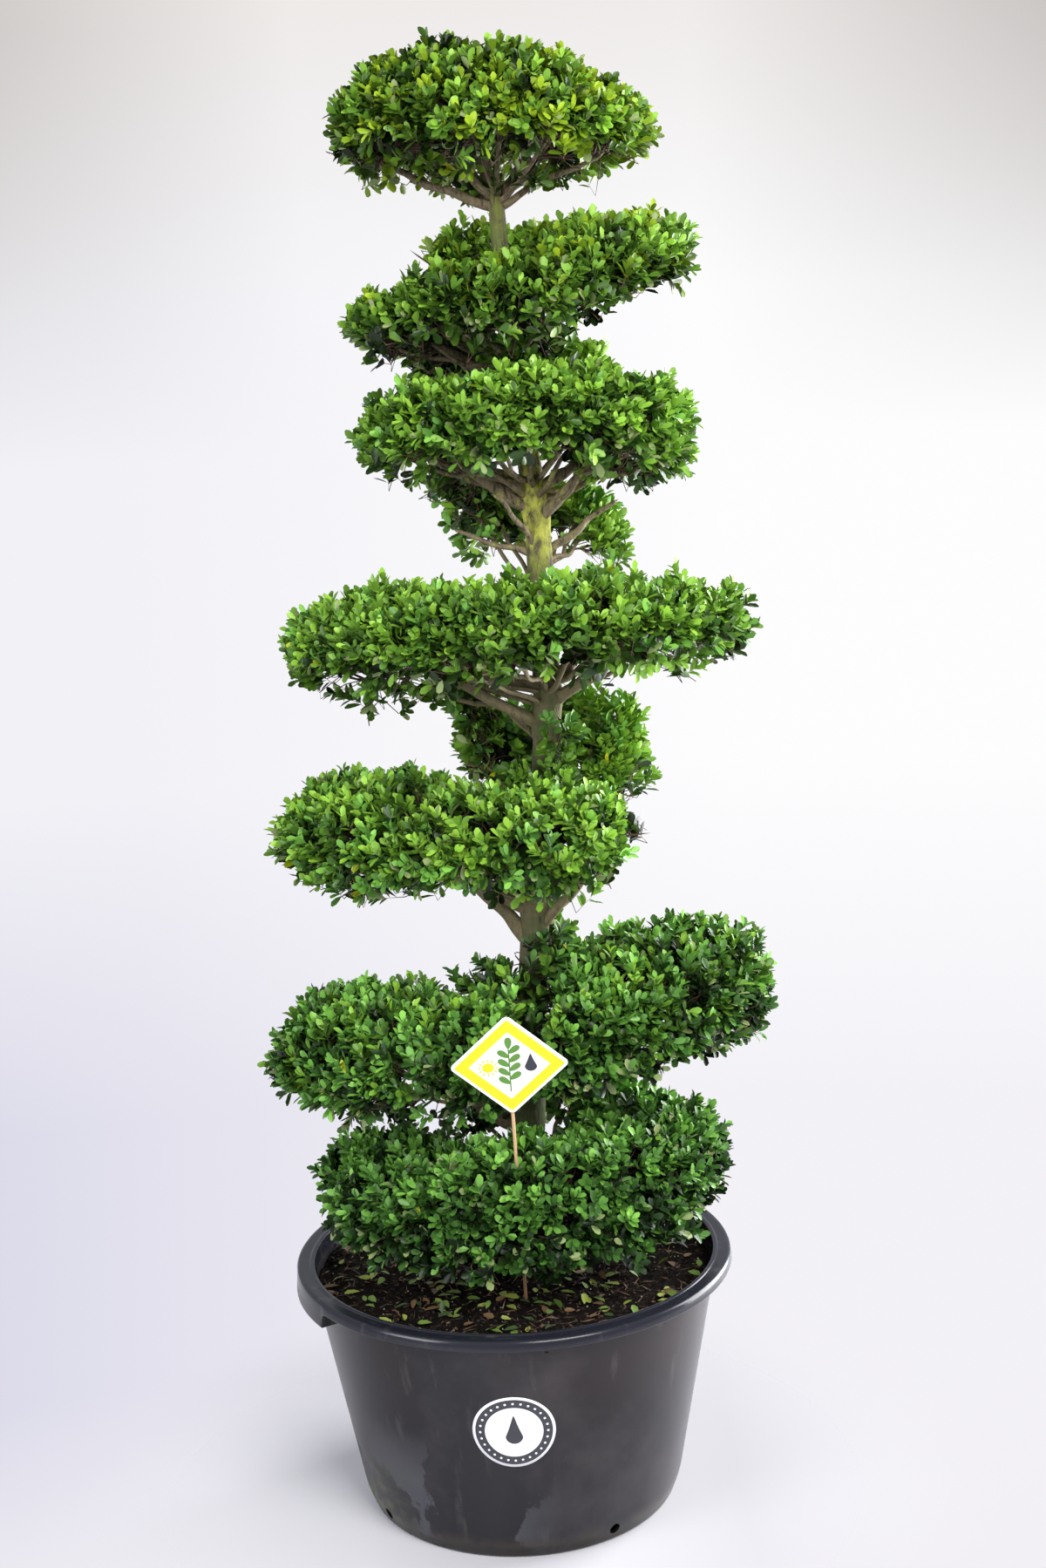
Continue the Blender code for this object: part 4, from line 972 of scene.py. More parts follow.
limbs = np.concatenate([main_boughs, side_limbs, cap_limbs, fork_limbs])
limb_share = np.linspace(0, 1, LIMB_STATIONS)[None, :]
limb_radii = np.concatenate([
    np.repeat(BOUGH_ROOT + (BOUGH_TIP - BOUGH_ROOT) * limb_share, len(main_boughs), 0),
    np.repeat(SIDE_LIMB_ROOT + (SIDE_LIMB_TIP - SIDE_LIMB_ROOT) * limb_share, len(side_limbs), 0),
    cap_girth[:, None] * (1 - CAP_TAPER * limb_share),
    fork_girth[:, None] * (1 - FORK_TAPER * limb_share),
])
limb_turn = np.arange(LIMB_COLUMNS) * 2 * np.pi / LIMB_COLUMNS
limb_length = np.linspace(0, 0.3, LIMB_STATIONS)[:, None] + np.arange(len(limbs))[:, None, None]
limb_relief = 1 + LIMB_RELIEF * np.sin(3 * limb_turn + 40 * limb_length) * np.sin(23 * limb_length)
bough_points, bough_faces = tubes(limbs, limb_radii, LIMB_COLUMNS, limb_relief)
bough_finish = bark("bough_bark", (0.185, 0.145, 0.085), 0.42, 150.0)
boughs = new_piece("boughs", bough_points, bough_faces, [bough_finish])
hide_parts(*(f"bough_{name}" for name in mass_names), "bough_cap_left", "bough_cap_right")
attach(boughs, "root")


# ---------------------------------------------------------------- twigs and leaves
# Thin red-brown twigs branch from the limbs to the clipped outline, and end in short shoots.
# Each shoot carries small glossy leaves in a spiral, spread at its foot and upright at its
# tip. Young leaves are yellow green; the tones also carry painted light, and those deep inside
# and low down are painted darkest, as shade.

SHOOTS_PER_M2 = 3900
INNER_SHOOTS_PER_M2 = 560
SHOOT_SPACING = 0.0112
SHOOT_LENGTH = (0.026, 0.046)
LEAVES_PER_SHOOT = 10
LEAF_LENGTH = 0.0252
LEAF_WIDTH = 0.0132
OUTLINE_LUMPS = 0.008
OUTLINE_MARGIN = 0.019  # from the shoots' tips to the outline, taken up by their leaves
BRANCH_SHARE = 13  # shoots to each branchlet
SHOOT_LIFT = 0.42  # how far shoots turn up to the light
SHOOT_ROOM = (-0.014, 0.004)  # least and most that a shoot's tip is past the outline
STRAYS, STRAY_REACH = 0.09, (0.004, 0.018)  # share of shoots that stand out, and by how much
INNER_DEPTH = (0.035, 0.07)
BRANCH_DEPTH = (0.008, 0.035)
BRANCH_RADII = np.linspace(0.0021, 0.0012, 7)
TWIG_RADII = (0.0011, 0.0009, 0.0008, 0.0004)
STEM_ROOM, SOIL_ROOM = 0.007, 0.004  # that shoots and leaves keep from the stem and the soil
LEAF_LEANS = (74, 46, 11)  # degrees: at the foot, less at the tip, and their scatter
LEAVES_KEPT = 0.93
GOLDEN_TURN = 2.39996
BOARD_PLACE = np.array((0.0095, -0.2845, 0.7965))  # the label's card, which leaves keep clear of
BOARD_ROOM, BOARD_FRONT = 0.100, -0.245

# Outline points of a leaf, as shares of its length, its width and its length again (lift).
LEAF_OUTLINE = np.array((
    (0.0, 0.0, 0.0), (0.36, 0.38, 0.055), (0.76, 0.47, 0.045), (1.0, 0.16, -0.030),
    (1.0, -0.16, -0.030), (0.76, -0.47, 0.045), (0.36, -0.38, 0.055),
))
LEAF_FACES = np.array(((0, 2, 1), (0, 3, 2), (0, 4, 3), (0, 5, 4), (0, 6, 5)))
STEM_SPRAYS = {  # young growth by the stem: count, heights, turns, distances from its axis
    "tier_2_left": (120, (0.745, 0.872), (160, 245), (0.035, 0.130)),
    "tier_2_right": (74, (0.800, 0.935), (-105, 10), (0.028, 0.064)),
    "tier_3_back": (60, (1.130, 1.265), (-100, 0), (0.030, 0.058)),
    "tier_3_left": (40, (1.110, 1.190), (200, 300), (0.030, 0.080)),
    "tier_6_left": (60, (1.775, 1.850), (-120, 15), (0.030, 0.105)),
}
SKY_WINDOWS = (  # where sky shows: x from the stem, least y, z range, share of shoots kept
    (-0.105, -0.015, 0.0, 1.480, 1.578, 0.28),
    (0.015, 0.062, 0.0, 1.485, 1.562, 0.28),
    (0.062, 0.190, -0.10, 1.440, 1.530, 0.10),
    (0.128, 0.400, -0.25, 1.030, 1.142, 0.08),
)
LONGEST_STALK = 0.092
LIGHT_AT = np.array((  # height and gain of light there
    (0.62, 0.00), (0.80, -0.05), (1.0, 0.07), (1.1, 0.10), (1.2, 0.04), (1.6, 0.03),
    (1.7, 0.11), (1.8, 0.02), (1.97, -0.06), (2.06, 0.10), (2.14, 0.04), (2.25, -0.22),
)).T
WARMTH_AT = np.array(((0.45, 0.15), (0.80, 0.6), (1.15, 1.15), (1.75, 1.2), (2.08, 1.85))).T
BARE_TWIGS = 44
BARE_TWIG_HEIGHTS, BARE_TWIG_TURNS = (0.780, 0.870), (215, 345)
BARE_TWIG_REACH, BARE_TWIG_RISE = (0.015, 0.05), (-0.05, 0.04)
BARE_TWIG_RADII = np.linspace(0.0015, 0.0006, 9)
SADDLE = (0.030, 0.815)  # half width and foot of the gap in the second tier, at the stem
LEAF_LEVELS = (0.010, 0.036, 0.098, 0.198, 0.320, 0.470)  # green, from shade to young
LEAF_HUES = {  # red and blue as shares of the green, in the darkest and in the youngest
    "cool": ((0.28, 0.16), (0.44, 0.15)),
    "green": ((0.32, 0.10), (0.53, 0.10)),
    "warm": ((0.42, 0.04), (0.68, 0.05)),
}
leaf_finishes = []
for hue, (dark_shares, young_shares) in LEAF_HUES.items():
    for level, green in enumerate(LEAF_LEVELS):
        red, blue = np.array(dark_shares) + level / (len(LEAF_LEVELS) - 1) * np.subtract(
            young_shares, dark_shares)
        tone = (red * green, green, blue * green)
        leaf_finishes.append(new_finish(
            f"{hue}_leaf_{level + 1}", tone, 0.42, Specular_IOR_Level=0.34)[0])
leaf_finishes.append(new_finish("pale_leaf", (0.230, 0.300, 0.110), 0.55)[0])
leaf_finishes.append(new_finish("yellow_leaf", (0.430, 0.470, 0.016), 0.42)[0])
PALE, YELLOW = len(leaf_finishes) - 2, len(leaf_finishes) - 1


def ribbon_skin(turn, around):
    """Points and outward directions on the clipped outline: the section at a turn is
    |across/half width|^p + |up/half depth|^p = 1, and its ends are rounded by a nose."""
    radius, half_width, middle, half_depth = ribbon(turn)
    near = np.minimum((turn - RIBBON_START) / NOSE_ARC, (RIBBON_END - turn) / NOSE_ARC)
    nose = NOSE_LEAST + (1 - NOSE_LEAST) * np.sqrt(1 - (1 - np.clip(near, 0, 1)) ** 2)
    half_width, half_depth = half_width * nose, half_depth * nose
    c, s = np.cos(around), np.sin(around)
    across = half_width * np.sign(c) * np.abs(c) ** (2 / SECTION_POWER)
    up = half_depth * np.sign(s) * np.abs(s) ** (2 / SECTION_POWER)
    way = outward(turn)
    points = way * (radius + across)[..., None]
    points[..., 0] += trunk_x(middle)
    points[..., 2] = middle + up
    normals = way * (c / half_width)[..., None]
    normals[..., 2] = s / half_depth
    return points, unit(normals)


def ribbon_sites(rng, start, end, density):
    """Even seeded sites on one mass of the ribbon. Candidates are kept in the measure of
    their patch's area, |dP/dturn x dP/daround|, then thinned to one in each small cell."""
    radius, half_width, _, half_depth = ribbon((start + end) / 2)
    whole = np.radians(end - start) * 2 * np.pi
    skin = np.radians(end - start) * (radius + half_width) * np.pi * (half_width + half_depth)
    count = int(4 * density * skin)
    turn, around = rng.uniform(start, end, count), rng.uniform(-np.pi, np.pi, count)
    points, normals = ribbon_skin(turn, around)
    by_turn = (ribbon_skin(turn + 0.2, around)[0] - points) / np.radians(0.2)
    by_around = (ribbon_skin(turn, around + 0.004)[0] - points) / 0.004
    area = np.linalg.norm(np.cross(by_turn, by_around), axis=-1)
    keep = rng.uniform(size=count) < density * area * whole / count
    return thinned(points[keep], normals[keep])


def cap_sites(rng, density):
    """Even seeded sites on the cap: points of a sphere moved out to the ribbon's section."""
    count = int(density * 2 * np.pi * CAP_REACH * (CAP_REACH + CAP_RISE) * 1.25)
    way = unit(rng.normal(size=(count, 3)))
    flat = np.hypot(way[:, 0], way[:, 1])
    power = np.where(way[:, 2] > 0, CAP_POWER, SECTION_POWER)
    boxy = way * np.stack([flat ** (2 / power - 1)] * 2 + [np.abs(way[:, 2]) ** (2 / power - 1)], -1)
    size = np.where(way[:, 2:] > 0, (CAP_REACH, CAP_REACH, CAP_RISE), (CAP_REACH, CAP_REACH, CAP_SAG))
    points = CAP_CENTRE + boxy * size
    points[:, 0] -= CAP_LEAN * np.clip(boxy[:, 2], 0, 1)
    return thinned(points, unit(way / size))


def thinned(points, normals):
    """Keeps the first point in each cell of the shoots' spacing."""
    cells = np.floor(points / SHOOT_SPACING).astype(int)
    _, first = np.unique(cells, axis=0, return_index=True)
    return points[first], normals[first]


def grow_from(parents, targets, back, bend, stations):
    """Curved twigs to targets from the nearest places on their parents. They start some
    stations nearer the parent's root, and first go on along its way."""
    last = parents.shape[1] - 1
    distance = np.linalg.norm(targets[:, None] - parents.reshape(-1, 3)[None], axis=-1)
    limb, station = np.divmod(distance.argmin(1), parents.shape[1])
    station = np.clip(station - back, min(3, last - 1), last - 1)
    start = parents[limb, station]
    way = unit(parents[limb, station + 1] - start)
    far = np.linalg.norm(targets - start, axis=-1, keepdims=True)
    return bow(start, start + way * far * bend + (targets - start) * 0.2, targets, stations)


def clear_of_limbs(points):
    """Whether points keep off the trunk, the board and the air in front of it."""
    off_trunk = np.hypot(points[..., 0] - trunk_x(points[..., 2]), points[..., 1])
    offset = np.abs(points - BOARD_PLACE)
    by_board = (offset[..., 0] + offset[..., 2] < BOARD_ROOM) & (points[..., 1] < BOARD_FRONT)
    return (off_trunk > trunk_radius(points[..., 2]) + STEM_ROOM) & ~by_board & (
        points[..., 2] > SOIL_LEVEL + SOIL_ROOM)


def shoots_on(rng, points, normals, depth):
    """Tips, ways and feet of the shoots at sites: out of the outline, turned to the light."""
    count = len(points)
    lumps = OUTLINE_LUMPS * swell(points, 0.10, 60) + OUTLINE_LUMPS * swell(points, 0.040, 61)
    stray = rng.uniform(*SHOOT_ROOM, count) + (rng.uniform(size=count) < STRAYS) * rng.uniform(
        *STRAY_REACH, count)
    lifted = 0.006 * np.clip(normals[:, 2], 0, 1)
    tips = points + normals * (lumps + stray - depth - lifted)[:, None]
    flatter = np.where(normals[:, 2:] < 0, normals * (1, 1, 0.55), normals)
    ways = unit(flatter * 0.85 + UP * SHOOT_LIFT + rng.normal(size=(count, 3)) * 0.30)
    return tips, ways, tips - ways * rng.uniform(*SHOOT_LENGTH, (count, 1))


def squared(face, along):
    """Directions turned square to others."""
    return unit(face - along * (face * along).sum(-1, keepdims=True))


def leaves_on(rng, tips, ways, feet, count):
    """Roots, directions, upper faces and sizes of leaves up shoots: leaf k is turned by the
    golden angle from the last, and leans out less and is smaller towards the tip."""
    k = np.arange(count)[None, :]
    share = 0.30 + 0.70 * (k + rng.uniform(-0.3, 0.3, (len(tips), count))) / (count - 1)
    share = np.clip(share, 0.2, 1)[..., None]
    roots = feet[:, None] + (tips - feet)[:, None] * share
    u = unit(np.cross(ways, (0.31, 0.83, 0.46)))
    v = np.cross(ways, u)
    turn = k * GOLDEN_TURN + rng.uniform(0, 2 * np.pi, (len(tips), 1)) + rng.normal(
        size=(len(tips), count)) * 0.3
    out = u[:, None] * np.cos(turn)[..., None] + v[:, None] * np.sin(turn)[..., None]
    most, less, scatter = LEAF_LEANS
    lean = np.radians(most - less * share + rng.normal(size=share.shape) * scatter)
    along = unit(ways[:, None] * np.cos(lean) + out * np.sin(lean))
    face = ways[:, None] * np.sin(lean) - out * np.cos(lean) + UP * 0.45
    face = squared(face + rng.normal(size=face.shape) * 0.16, along)
    share = share[..., 0]
    return roots, along, face, (1.06 - 0.30 * share) * rng.uniform(0.82, 1.12, share.shape), share


def leaf_points(roots, along, face, size):
    """Corners of leaves: root + length (a along) + width (b across) + length (c up)."""
    across = np.cross(face, along)
    a, b, c = LEAF_OUTLINE.T[:, None, :, None]
    length, width = (LEAF_LENGTH * size)[:, None, None], (LEAF_WIDTH * size)[:, None, None]
    return (roots[:, None] + length * (a * along[:, None] + c * face[:, None])
            + width * b * across[:, None])


def dealt_tones(rng, tips, normals, share, inner):
    """Which tone each leaf has. A spray's brightness follows the light that it stands in, by
    its side and height, and varies from spray to spray. Leaves near its tip are brighter, and
    its hue warms with height."""
    x, y, z = tips.T
    light = 0.42 + 0.12 * normals[:, 2] + 0.02 * normals[:, 0]
    light += 0.09 * swell(tips, 0.11, 70) + rng.normal(size=len(tips)) * 0.15
    light += np.interp(z, *LIGHT_AT) - 0.22 * within(z, 0.64, 0.42)
    light += 0.18 * within(y, 0, 0.12) + 0.16 * within(y, 0, 0.10) * within(x, 0, 0.08)
    light -= 0.10 * within(x, 0, 0.25) * within(z, 1.02, 0.92)
    light += 0.08 * np.clip(x / 0.2, -1, 1) * within(z, 1.98, 2.06)
    bright = light[:, None] + 0.40 * (share - 0.62) + rng.normal(size=share.shape) * 0.09
    # Shoots deep inside are painted darker, for the shade there.
    bright = np.where(inner, bright - 0.42, bright)
    last = len(LEAF_LEVELS) - 1
    level = np.clip(np.floor(bright * len(LEAF_LEVELS) + 0.6), 0, last).astype(int)
    warmth = np.interp(z, *WARMTH_AT) + rng.uniform(-0.35, 0.65, len(tips))
    hue = np.clip(np.floor(warmth), 0, len(LEAF_HUES) - 1).astype(int)
    tone = len(LEAF_LEVELS) * hue[:, None] + level
    pale = rng.uniform(size=share.shape) < np.where(normals[:, 2] < -0.2, 0.10, 0.016)[:, None]
    tone = np.where(pale & ~inner, PALE, tone)
    return np.where(rng.uniform(size=share.shape) < 0.0010, YELLOW, tone)


def kept(mask, *arrays):
    return [array[mask] for array in arrays]


twig_finish, tree, shader = new_finish("twig_bark", (0.105, 0.058, 0.032), 0.7)
young = patch(tree, 18.0, 0.45, 0.25)
dress(tree, shader, layered(tree, (0.085, 0.048, 0.028), ((0.215, 0.150, 0.070), young)))
stem_line = trunk_axis(np.linspace(0.62, 2.0, 3 * LIMB_STATIONS)).reshape(3, LIMB_STATIONS, 3)
rng = np.random.default_rng(SEED + 2)
groups = {tier: [] for tier in (*TIERS, "cap")}
for number, name in enumerate([*mass_names, "cap"]):
    tier = name.rsplit("_", 1)[0]
    if name == "cap":
        carriers = [cap_limbs, stem_line]
        found = [cap_sites(rng, density) for density in (SHOOTS_PER_M2, INNER_SHOOTS_PER_M2)]
    else:
        carriers = [main_boughs[number:number + 1],
                    side_limbs[number * SIDE_LIMBS:(number + 1) * SIDE_LIMBS], fork_limbs, stem_line]
        found = [ribbon_sites(rng, mass_starts[number], mass_ends[number], density)
                 for density in (SHOOTS_PER_M2, INNER_SHOOTS_PER_M2)]
    sites, normals = (np.concatenate(pair) for pair in zip(*found))
    is_inner = np.arange(len(sites)) >= len(found[0][0])
    if tier == "tier_2":
        from_stem = np.abs(sites[:, 0] - trunk_x(sites[:, 2]))
        open_here = (from_stem < SADDLE[0]) & (sites[:, 1] < 0) & (sites[:, 2] > SADDLE[1])
        sites, normals, is_inner = kept(~open_here, sites, normals, is_inner)
    thin_below = np.clip(1.0 + 1.2 * (normals[:, 2] + 0.20), 0.14, 1.0)
    gaps = 1 - 0.75 * np.clip(swell(sites, 0.055, 65) - 0.75, 0, 1)
    beside = sites[:, 0] - trunk_x(sites[:, 2])
    for x_low, x_high, y_low, z_low, z_high, share in SKY_WINDOWS:
        in_window = (beside > x_low) & (beside < x_high) & (sites[:, 1] > y_low) & (
            sites[:, 2] > z_low) & (sites[:, 2] < z_high)
        gaps = np.where(in_window, gaps * share, gaps)
    here = rng.uniform(size=len(sites)) < thin_below * gaps
    sites, normals, is_inner = kept(here, sites, normals, is_inner)
    depth = np.where(is_inner, rng.uniform(*INNER_DEPTH, len(sites)), OUTLINE_MARGIN)
    tips, ways, feet = shoots_on(rng, sites, normals, depth)
    if name in STEM_SPRAYS:
        many, heights, turns, room = STEM_SPRAYS[name]
        out = outward(rng.uniform(*turns, many))
        near_stem = out * rng.uniform(*room, (many, 1)) + trunk_axis(rng.uniform(*heights, many))
        stem_ways = unit(out + UP * 0.8 + rng.normal(size=out.shape) * 0.3)
        stem_feet = near_stem - stem_ways * rng.uniform(0.020, 0.035, (many, 1))
        tips, ways, feet, normals, is_inner = (np.concatenate(pair) for pair in (
            (tips, near_stem), (ways, stem_ways), (feet, stem_feet), (normals, out),
            (is_inner, np.zeros(many, bool))))
    here = clear_of_limbs(tips) & clear_of_limbs(feet)
    tips, ways, feet, normals, is_inner = kept(here, tips, ways, feet, normals, is_inner)
    chosen = rng.permutation(len(tips))[:max(8, len(tips) // BRANCH_SHARE)]
    branch_ends = feet[chosen] - normals[chosen] * rng.uniform(*BRANCH_DEPTH, (len(chosen), 1))
    branches = grow_from(np.concatenate(carriers), branch_ends, 3, 0.22, len(BRANCH_RADII))
    stalks = grow_from(branches, feet, 2, 0.20, len(TWIG_RADII) - 1)
    here = np.linalg.norm(stalks[:, -1] - stalks[:, 0], axis=1) < LONGEST_STALK
    stalks, tips, ways, feet, normals, is_inner = kept(
        here, stalks, tips, ways, feet, normals, is_inner)
    *leaf, share = leaves_on(rng, tips, ways, feet, LEAVES_PER_SHOOT)
    tone = dealt_tones(rng, tips, normals, share, is_inner[:, None])
    here = clear_of_limbs(leaf[0] + leaf[1] * LEAF_LENGTH * 0.8)
    here &= rng.uniform(size=here.shape) < LEAVES_KEPT
    groups[tier].append((
        leaf_points(*kept(here, *leaf)), tone[here],
        tubes(branches, BRANCH_RADII, 5),
        tubes(np.concatenate([stalks, tips[:, None]], 1), TWIG_RADII, 3),
    ))

# Bare twigs, dead and curled, that are caught in the gap beside the stem.
bare_root = trunk_axis(rng.uniform(*BARE_TWIG_HEIGHTS, BARE_TWIGS))
way = outward(rng.uniform(*BARE_TWIG_TURNS, BARE_TWIGS))
reach = way * rng.uniform(*BARE_TWIG_REACH, (BARE_TWIGS, 1))
curl = rng.normal(size=(BARE_TWIGS, 3)) * 0.030
bare_root = bare_root + way * 0.012
bare_end = bare_root + reach + UP * rng.uniform(*BARE_TWIG_RISE, (BARE_TWIGS, 1))
share = np.linspace(0, 1, len(BARE_TWIG_RADII))[None, :, None]
bare_paths = (bare_root[:, None] * (1 - share) + bare_end[:, None] * share
              + np.sin(np.pi * share) * curl[:, None])
bare_twigs = tubes(wander(bare_paths, LIMB_WANDER, 90), BARE_TWIG_RADII, 5)

for tier, masses in groups.items():
    nodes = ["foliage_cap"] if tier == "cap" else [f"foliage_{tier}_{side}" for side in SIDES]
    corners = np.concatenate([points for points, *_ in masses])
    tones = np.concatenate([tone for _, tone, *_ in masses])
    leaves = new_piece("leaves_" + tier, corners.reshape(-1, 3),
                       repeated(LEAF_FACES, len(LEAF_OUTLINE), len(corners)),
                       leaf_finishes, np.repeat(tones, len(LEAF_FACES)))
    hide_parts(*nodes)
    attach(leaves, "root")
    twig_parts = [part for mass in masses for part in mass[2:]] + [bare_twigs] * (tier == "tier_2")
    twigs = new_piece("twigs_" + tier, *joined(twig_parts), [twig_finish])
    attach(twigs, "root")


# ---------------------------------------------------------------- berries and fallen leaves
# A few small black berries on the shoots, and clippings that dropped onto the soil.

BERRIES = 46
BERRY_RADIUS = 0.0032
BERRY_COLOUR = (0.012, 0.010, 0.014)
FALLEN = 330

berry_places = np.concatenate([
    corners[rng.integers(0, len(corners), BERRIES // len(groups)), 0]
    for corners in (masses[0][0] for masses in groups.values())
])
ball = np.linspace(0, np.pi, 7)[1:-1]
ball_rings = polar(np.sin(ball)[:, None], np.arange(8)[None, :] * 45.0, np.cos(ball)[:, None])
ball_points, ball_faces = turned_shell(ball_rings, UP, -UP)
berry_points = berry_places[:, None] + ball_points[None] * BERRY_RADIUS
berry_finish, tree, shader = new_finish("black_berry", BERRY_COLOUR, 0.28)
bloom = patch(tree, 300.0, 0.4, 0.3)
dress(tree, shader, layered(tree, BERRY_COLOUR, ((0.030, 0.026, 0.040), bloom)))
berries = new_piece("berries", berry_points.reshape(-1, 3),
                    repeated(ball_faces, len(ball_points), len(berry_places)), [berry_finish])
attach(berries, "root")

rng = np.random.default_rng(SEED + 3)
fallen_places = on_soil(rng, FALLEN, 0.3, 0.97)
fallen_places[:, 2] += rng.uniform(0.002, 0.005, FALLEN)
fallen_along = unit(rng.normal(size=(FALLEN, 3)) * (1, 1, 0.22))
fallen_face = squared(rng.normal(size=(FALLEN, 3)) * 0.28 + UP, fallen_along)
fallen_points = leaf_points(fallen_places, fallen_along, fallen_face, rng.uniform(0.6, 1.05, FALLEN))
FALLEN_TONES = {
    "fallen_green": (0.110, 0.190, 0.030), "fallen_lime": (0.230, 0.290, 0.045),
    "fallen_dark": (0.035, 0.070, 0.018), "fallen_brown": (0.120, 0.070, 0.030),
}
fallen_finishes = [new_finish(name, tone, 0.55)[0] for name, tone in FALLEN_TONES.items()]
fallen_tone = rng.choice(4, FALLEN, p=[0.30, 0.28, 0.17, 0.25])
fallen = new_piece("fallen_leaves", fallen_points.reshape(-1, 3),
                   repeated(LEAF_FACES, len(LEAF_OUTLINE), FALLEN),
                   fallen_finishes, np.repeat(fallen_tone, len(LEAF_FACES)))
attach(fallen, "root")


# ---------------------------------------------------------------- label
# A plastic card on its corner, stapled to a split wooden stick that leans out of the soil.
# It is printed with a plain yellow border, a green sprig, and the signs for sun and water.

STICK_LEAN = np.radians(18.5)
STICK_TURN = -0.016
STICK_FOOT = (0.0175, -0.1405)
STICK_RADIUS = 0.0025
STICK_LENGTH = 0.535
STICK_STATIONS, STICK_SIDES = 40, 16
CARD_COLOUR = (0.82, 0.82, 0.80)
BOARD_ALONG = 0.4495  # of its middle, up the stick
BOARD_SIDE = 0.124
BOARD_CORNER = 0.008
BOARD_THICKNESS = 0.002
BOARD_GAP = 0.0003
BORDER = (0.005, 0.020)  # from the card's edge to the border's outer and inner edges
BOARD_SECTION = (  # shares of its outline and of half its thickness, from front to back
    (0.5, 1), (0.985, 1), (0.997, 0.8), (1, 0.4), (1, -0.4), (0.997, -0.8), (0.985, -1), (0.5, -1),
)
PRINT_LIFT = 0.00012
SUN_PLACE, DROP_PLACE = (-0.031, -0.002), (0.031, -0.002)
SUN_RADIUS, SUN_RAYS = 0.0085, 12
RAY_START, RAY_END, RAY_HALF_WIDTH = 0.0108, 0.0170, 0.0019
SPRIG_FOOT, SPRIG_TIP = -0.046, 0.030
SPRIG_LEAVES = 9
SPRIG_HALF_WIDTH = 0.0009
SPRIG_LEAN = 52
SPRIG_LEAF_HALVES = (0.0050, 0.0100)  # half its width and half its length
DROP_HALVES = (0.0090, 0.0215)  # of the drop: its radius, and its point's height

stick_up = unit(np.array((STICK_TURN, -np.sin(STICK_LEAN), np.cos(STICK_LEAN))))
stick_foot = np.array((*STICK_FOOT, SOIL_LEVEL + BOARD_GAP + STICK_RADIUS * np.sin(STICK_LEAN)))
facing = np.array((0.0, -np.cos(STICK_LEAN), -np.sin(STICK_LEAN)))
board_across = unit(np.cross(stick_up, facing))
facing = unit(np.cross(board_across, stick_up))
board_centre = stick_foot + stick_up * BOARD_ALONG + facing * (
    STICK_RADIUS + BOARD_GAP + BOARD_THICKNESS / 2)

stick_share = np.linspace(0, 1, STICK_STATIONS)
stick_turn = np.arange(STICK_SIDES) * 2 * np.pi / STICK_SIDES
stick_path = stick_foot + stick_up * (stick_share * STICK_LENGTH)[:, None]
splinters = swell(np.stack([
    *np.meshgrid(stick_share / 2, stick_turn, indexing="ij"),
    np.zeros((STICK_STATIONS, STICK_SIDES))], -1), 0.05, 80)
split = 1 - 0.16 * np.abs(np.cos(2 * stick_turn)) + 0.03 * splinters
stick_points, stick_faces = tubes(stick_path[None], STICK_RADIUS, STICK_SIDES, split[None])
wood, tree, shader = new_finish("birch_wood", (0.50, 0.32, 0.17), 0.68)
colour = layered(
    tree, (0.56, 0.37, 0.20),
    ((0.38, 0.22, 0.11), patch(tree, 700.0, 0.5, 0.3, 26.0)),
    ((0.20, 0.085, 0.030), ramp(tree, object_axes(tree)["Z"], 0.46, 0.38), 0.75),
)
dress(tree, shader, colour, Scale=900.0, Depth=0.0002, Stretch=22.0)
stick = new_piece("label_stake", stick_points, stick_faces, [wood])
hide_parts("label_stick")
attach(stick, "root")


def on_board(flat, lift):
    """Flat points (across, up) in the board's plane, the lift in front of its middle."""
    return (board_centre + flat[..., 0:1] * board_across + flat[..., 1:2] * stick_up
            + lift * facing)


def corner_square(side, corner, steps=10):
    """A square on its corner with rounded corners: quarter circles about the corners of a
    smaller square, all turned by an eighth."""
    k, i = np.meshgrid(np.arange(4), np.linspace(0, 1, steps), indexing="ij")
    angle = (np.pi / 2 * (k + i)).ravel()
    half = side / 2 - corner
    x = half * np.repeat([1, -1, -1, 1], steps) + corner * np.cos(angle)
    y = half * np.repeat([1, 1, -1, -1], steps) + corner * np.sin(angle)
    return np.stack([x - y, x + y], -1) / np.sqrt(2)


board_outline = corner_square(BOARD_SIDE, BOARD_CORNER)
board_rings = np.stack([
    on_board(board_outline * share, level * BOARD_THICKNESS / 2) for share, level in BOARD_SECTION
])
board_points, board_faces = turned_shell(board_rings, *(
    on_board(np.zeros(2), side * BOARD_THICKNESS / 2) for side in (1, -1)))
card, tree, shader = new_finish("white_card", CARD_COLOUR, 0.30)
dirt = patch(tree, 45.0, 0.30, 0.3)
colour = layered(tree, CARD_COLOUR, (DUST_COLOUR, dirt, 0.10))
dress(tree, shader, colour, Scale=1500.0, Depth=0.00001)
board = new_piece("label_card", board_points, board_faces, [card])
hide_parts("label_board")
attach(board, "root")

inks = []
for name, colour in (("yellow_ink", (0.86, 0.60, 0.003)), ("blue_black_ink", (0.020, 0.024, 0.034)),
                     ("green_ink", (0.090, 0.230, 0.030))):
    ink, tree, shader = new_finish(name, colour, 0.32)
    dress(tree, shader, Scale=1500.0, Depth=0.00001)
    inks.append(ink)
edges = [corner_square(BOARD_SIDE - 2 * inset, max(BOARD_CORNER - inset, 0.002)) for inset in BORDER]
here = np.arange(len(edges[0]))
beside, inside = (here + 1) % len(here), here + len(here)
border = (np.concatenate(edges),
          np.concatenate(split_quads(here, beside, beside + len(here), inside)))
sun = fan(ring(48) * SUN_RADIUS + SUN_PLACE, SUN_PLACE)
ray_way = ring(SUN_RAYS)
ray_side = ray_way[:, ::-1] * (-RAY_HALF_WIDTH, RAY_HALF_WIDTH)
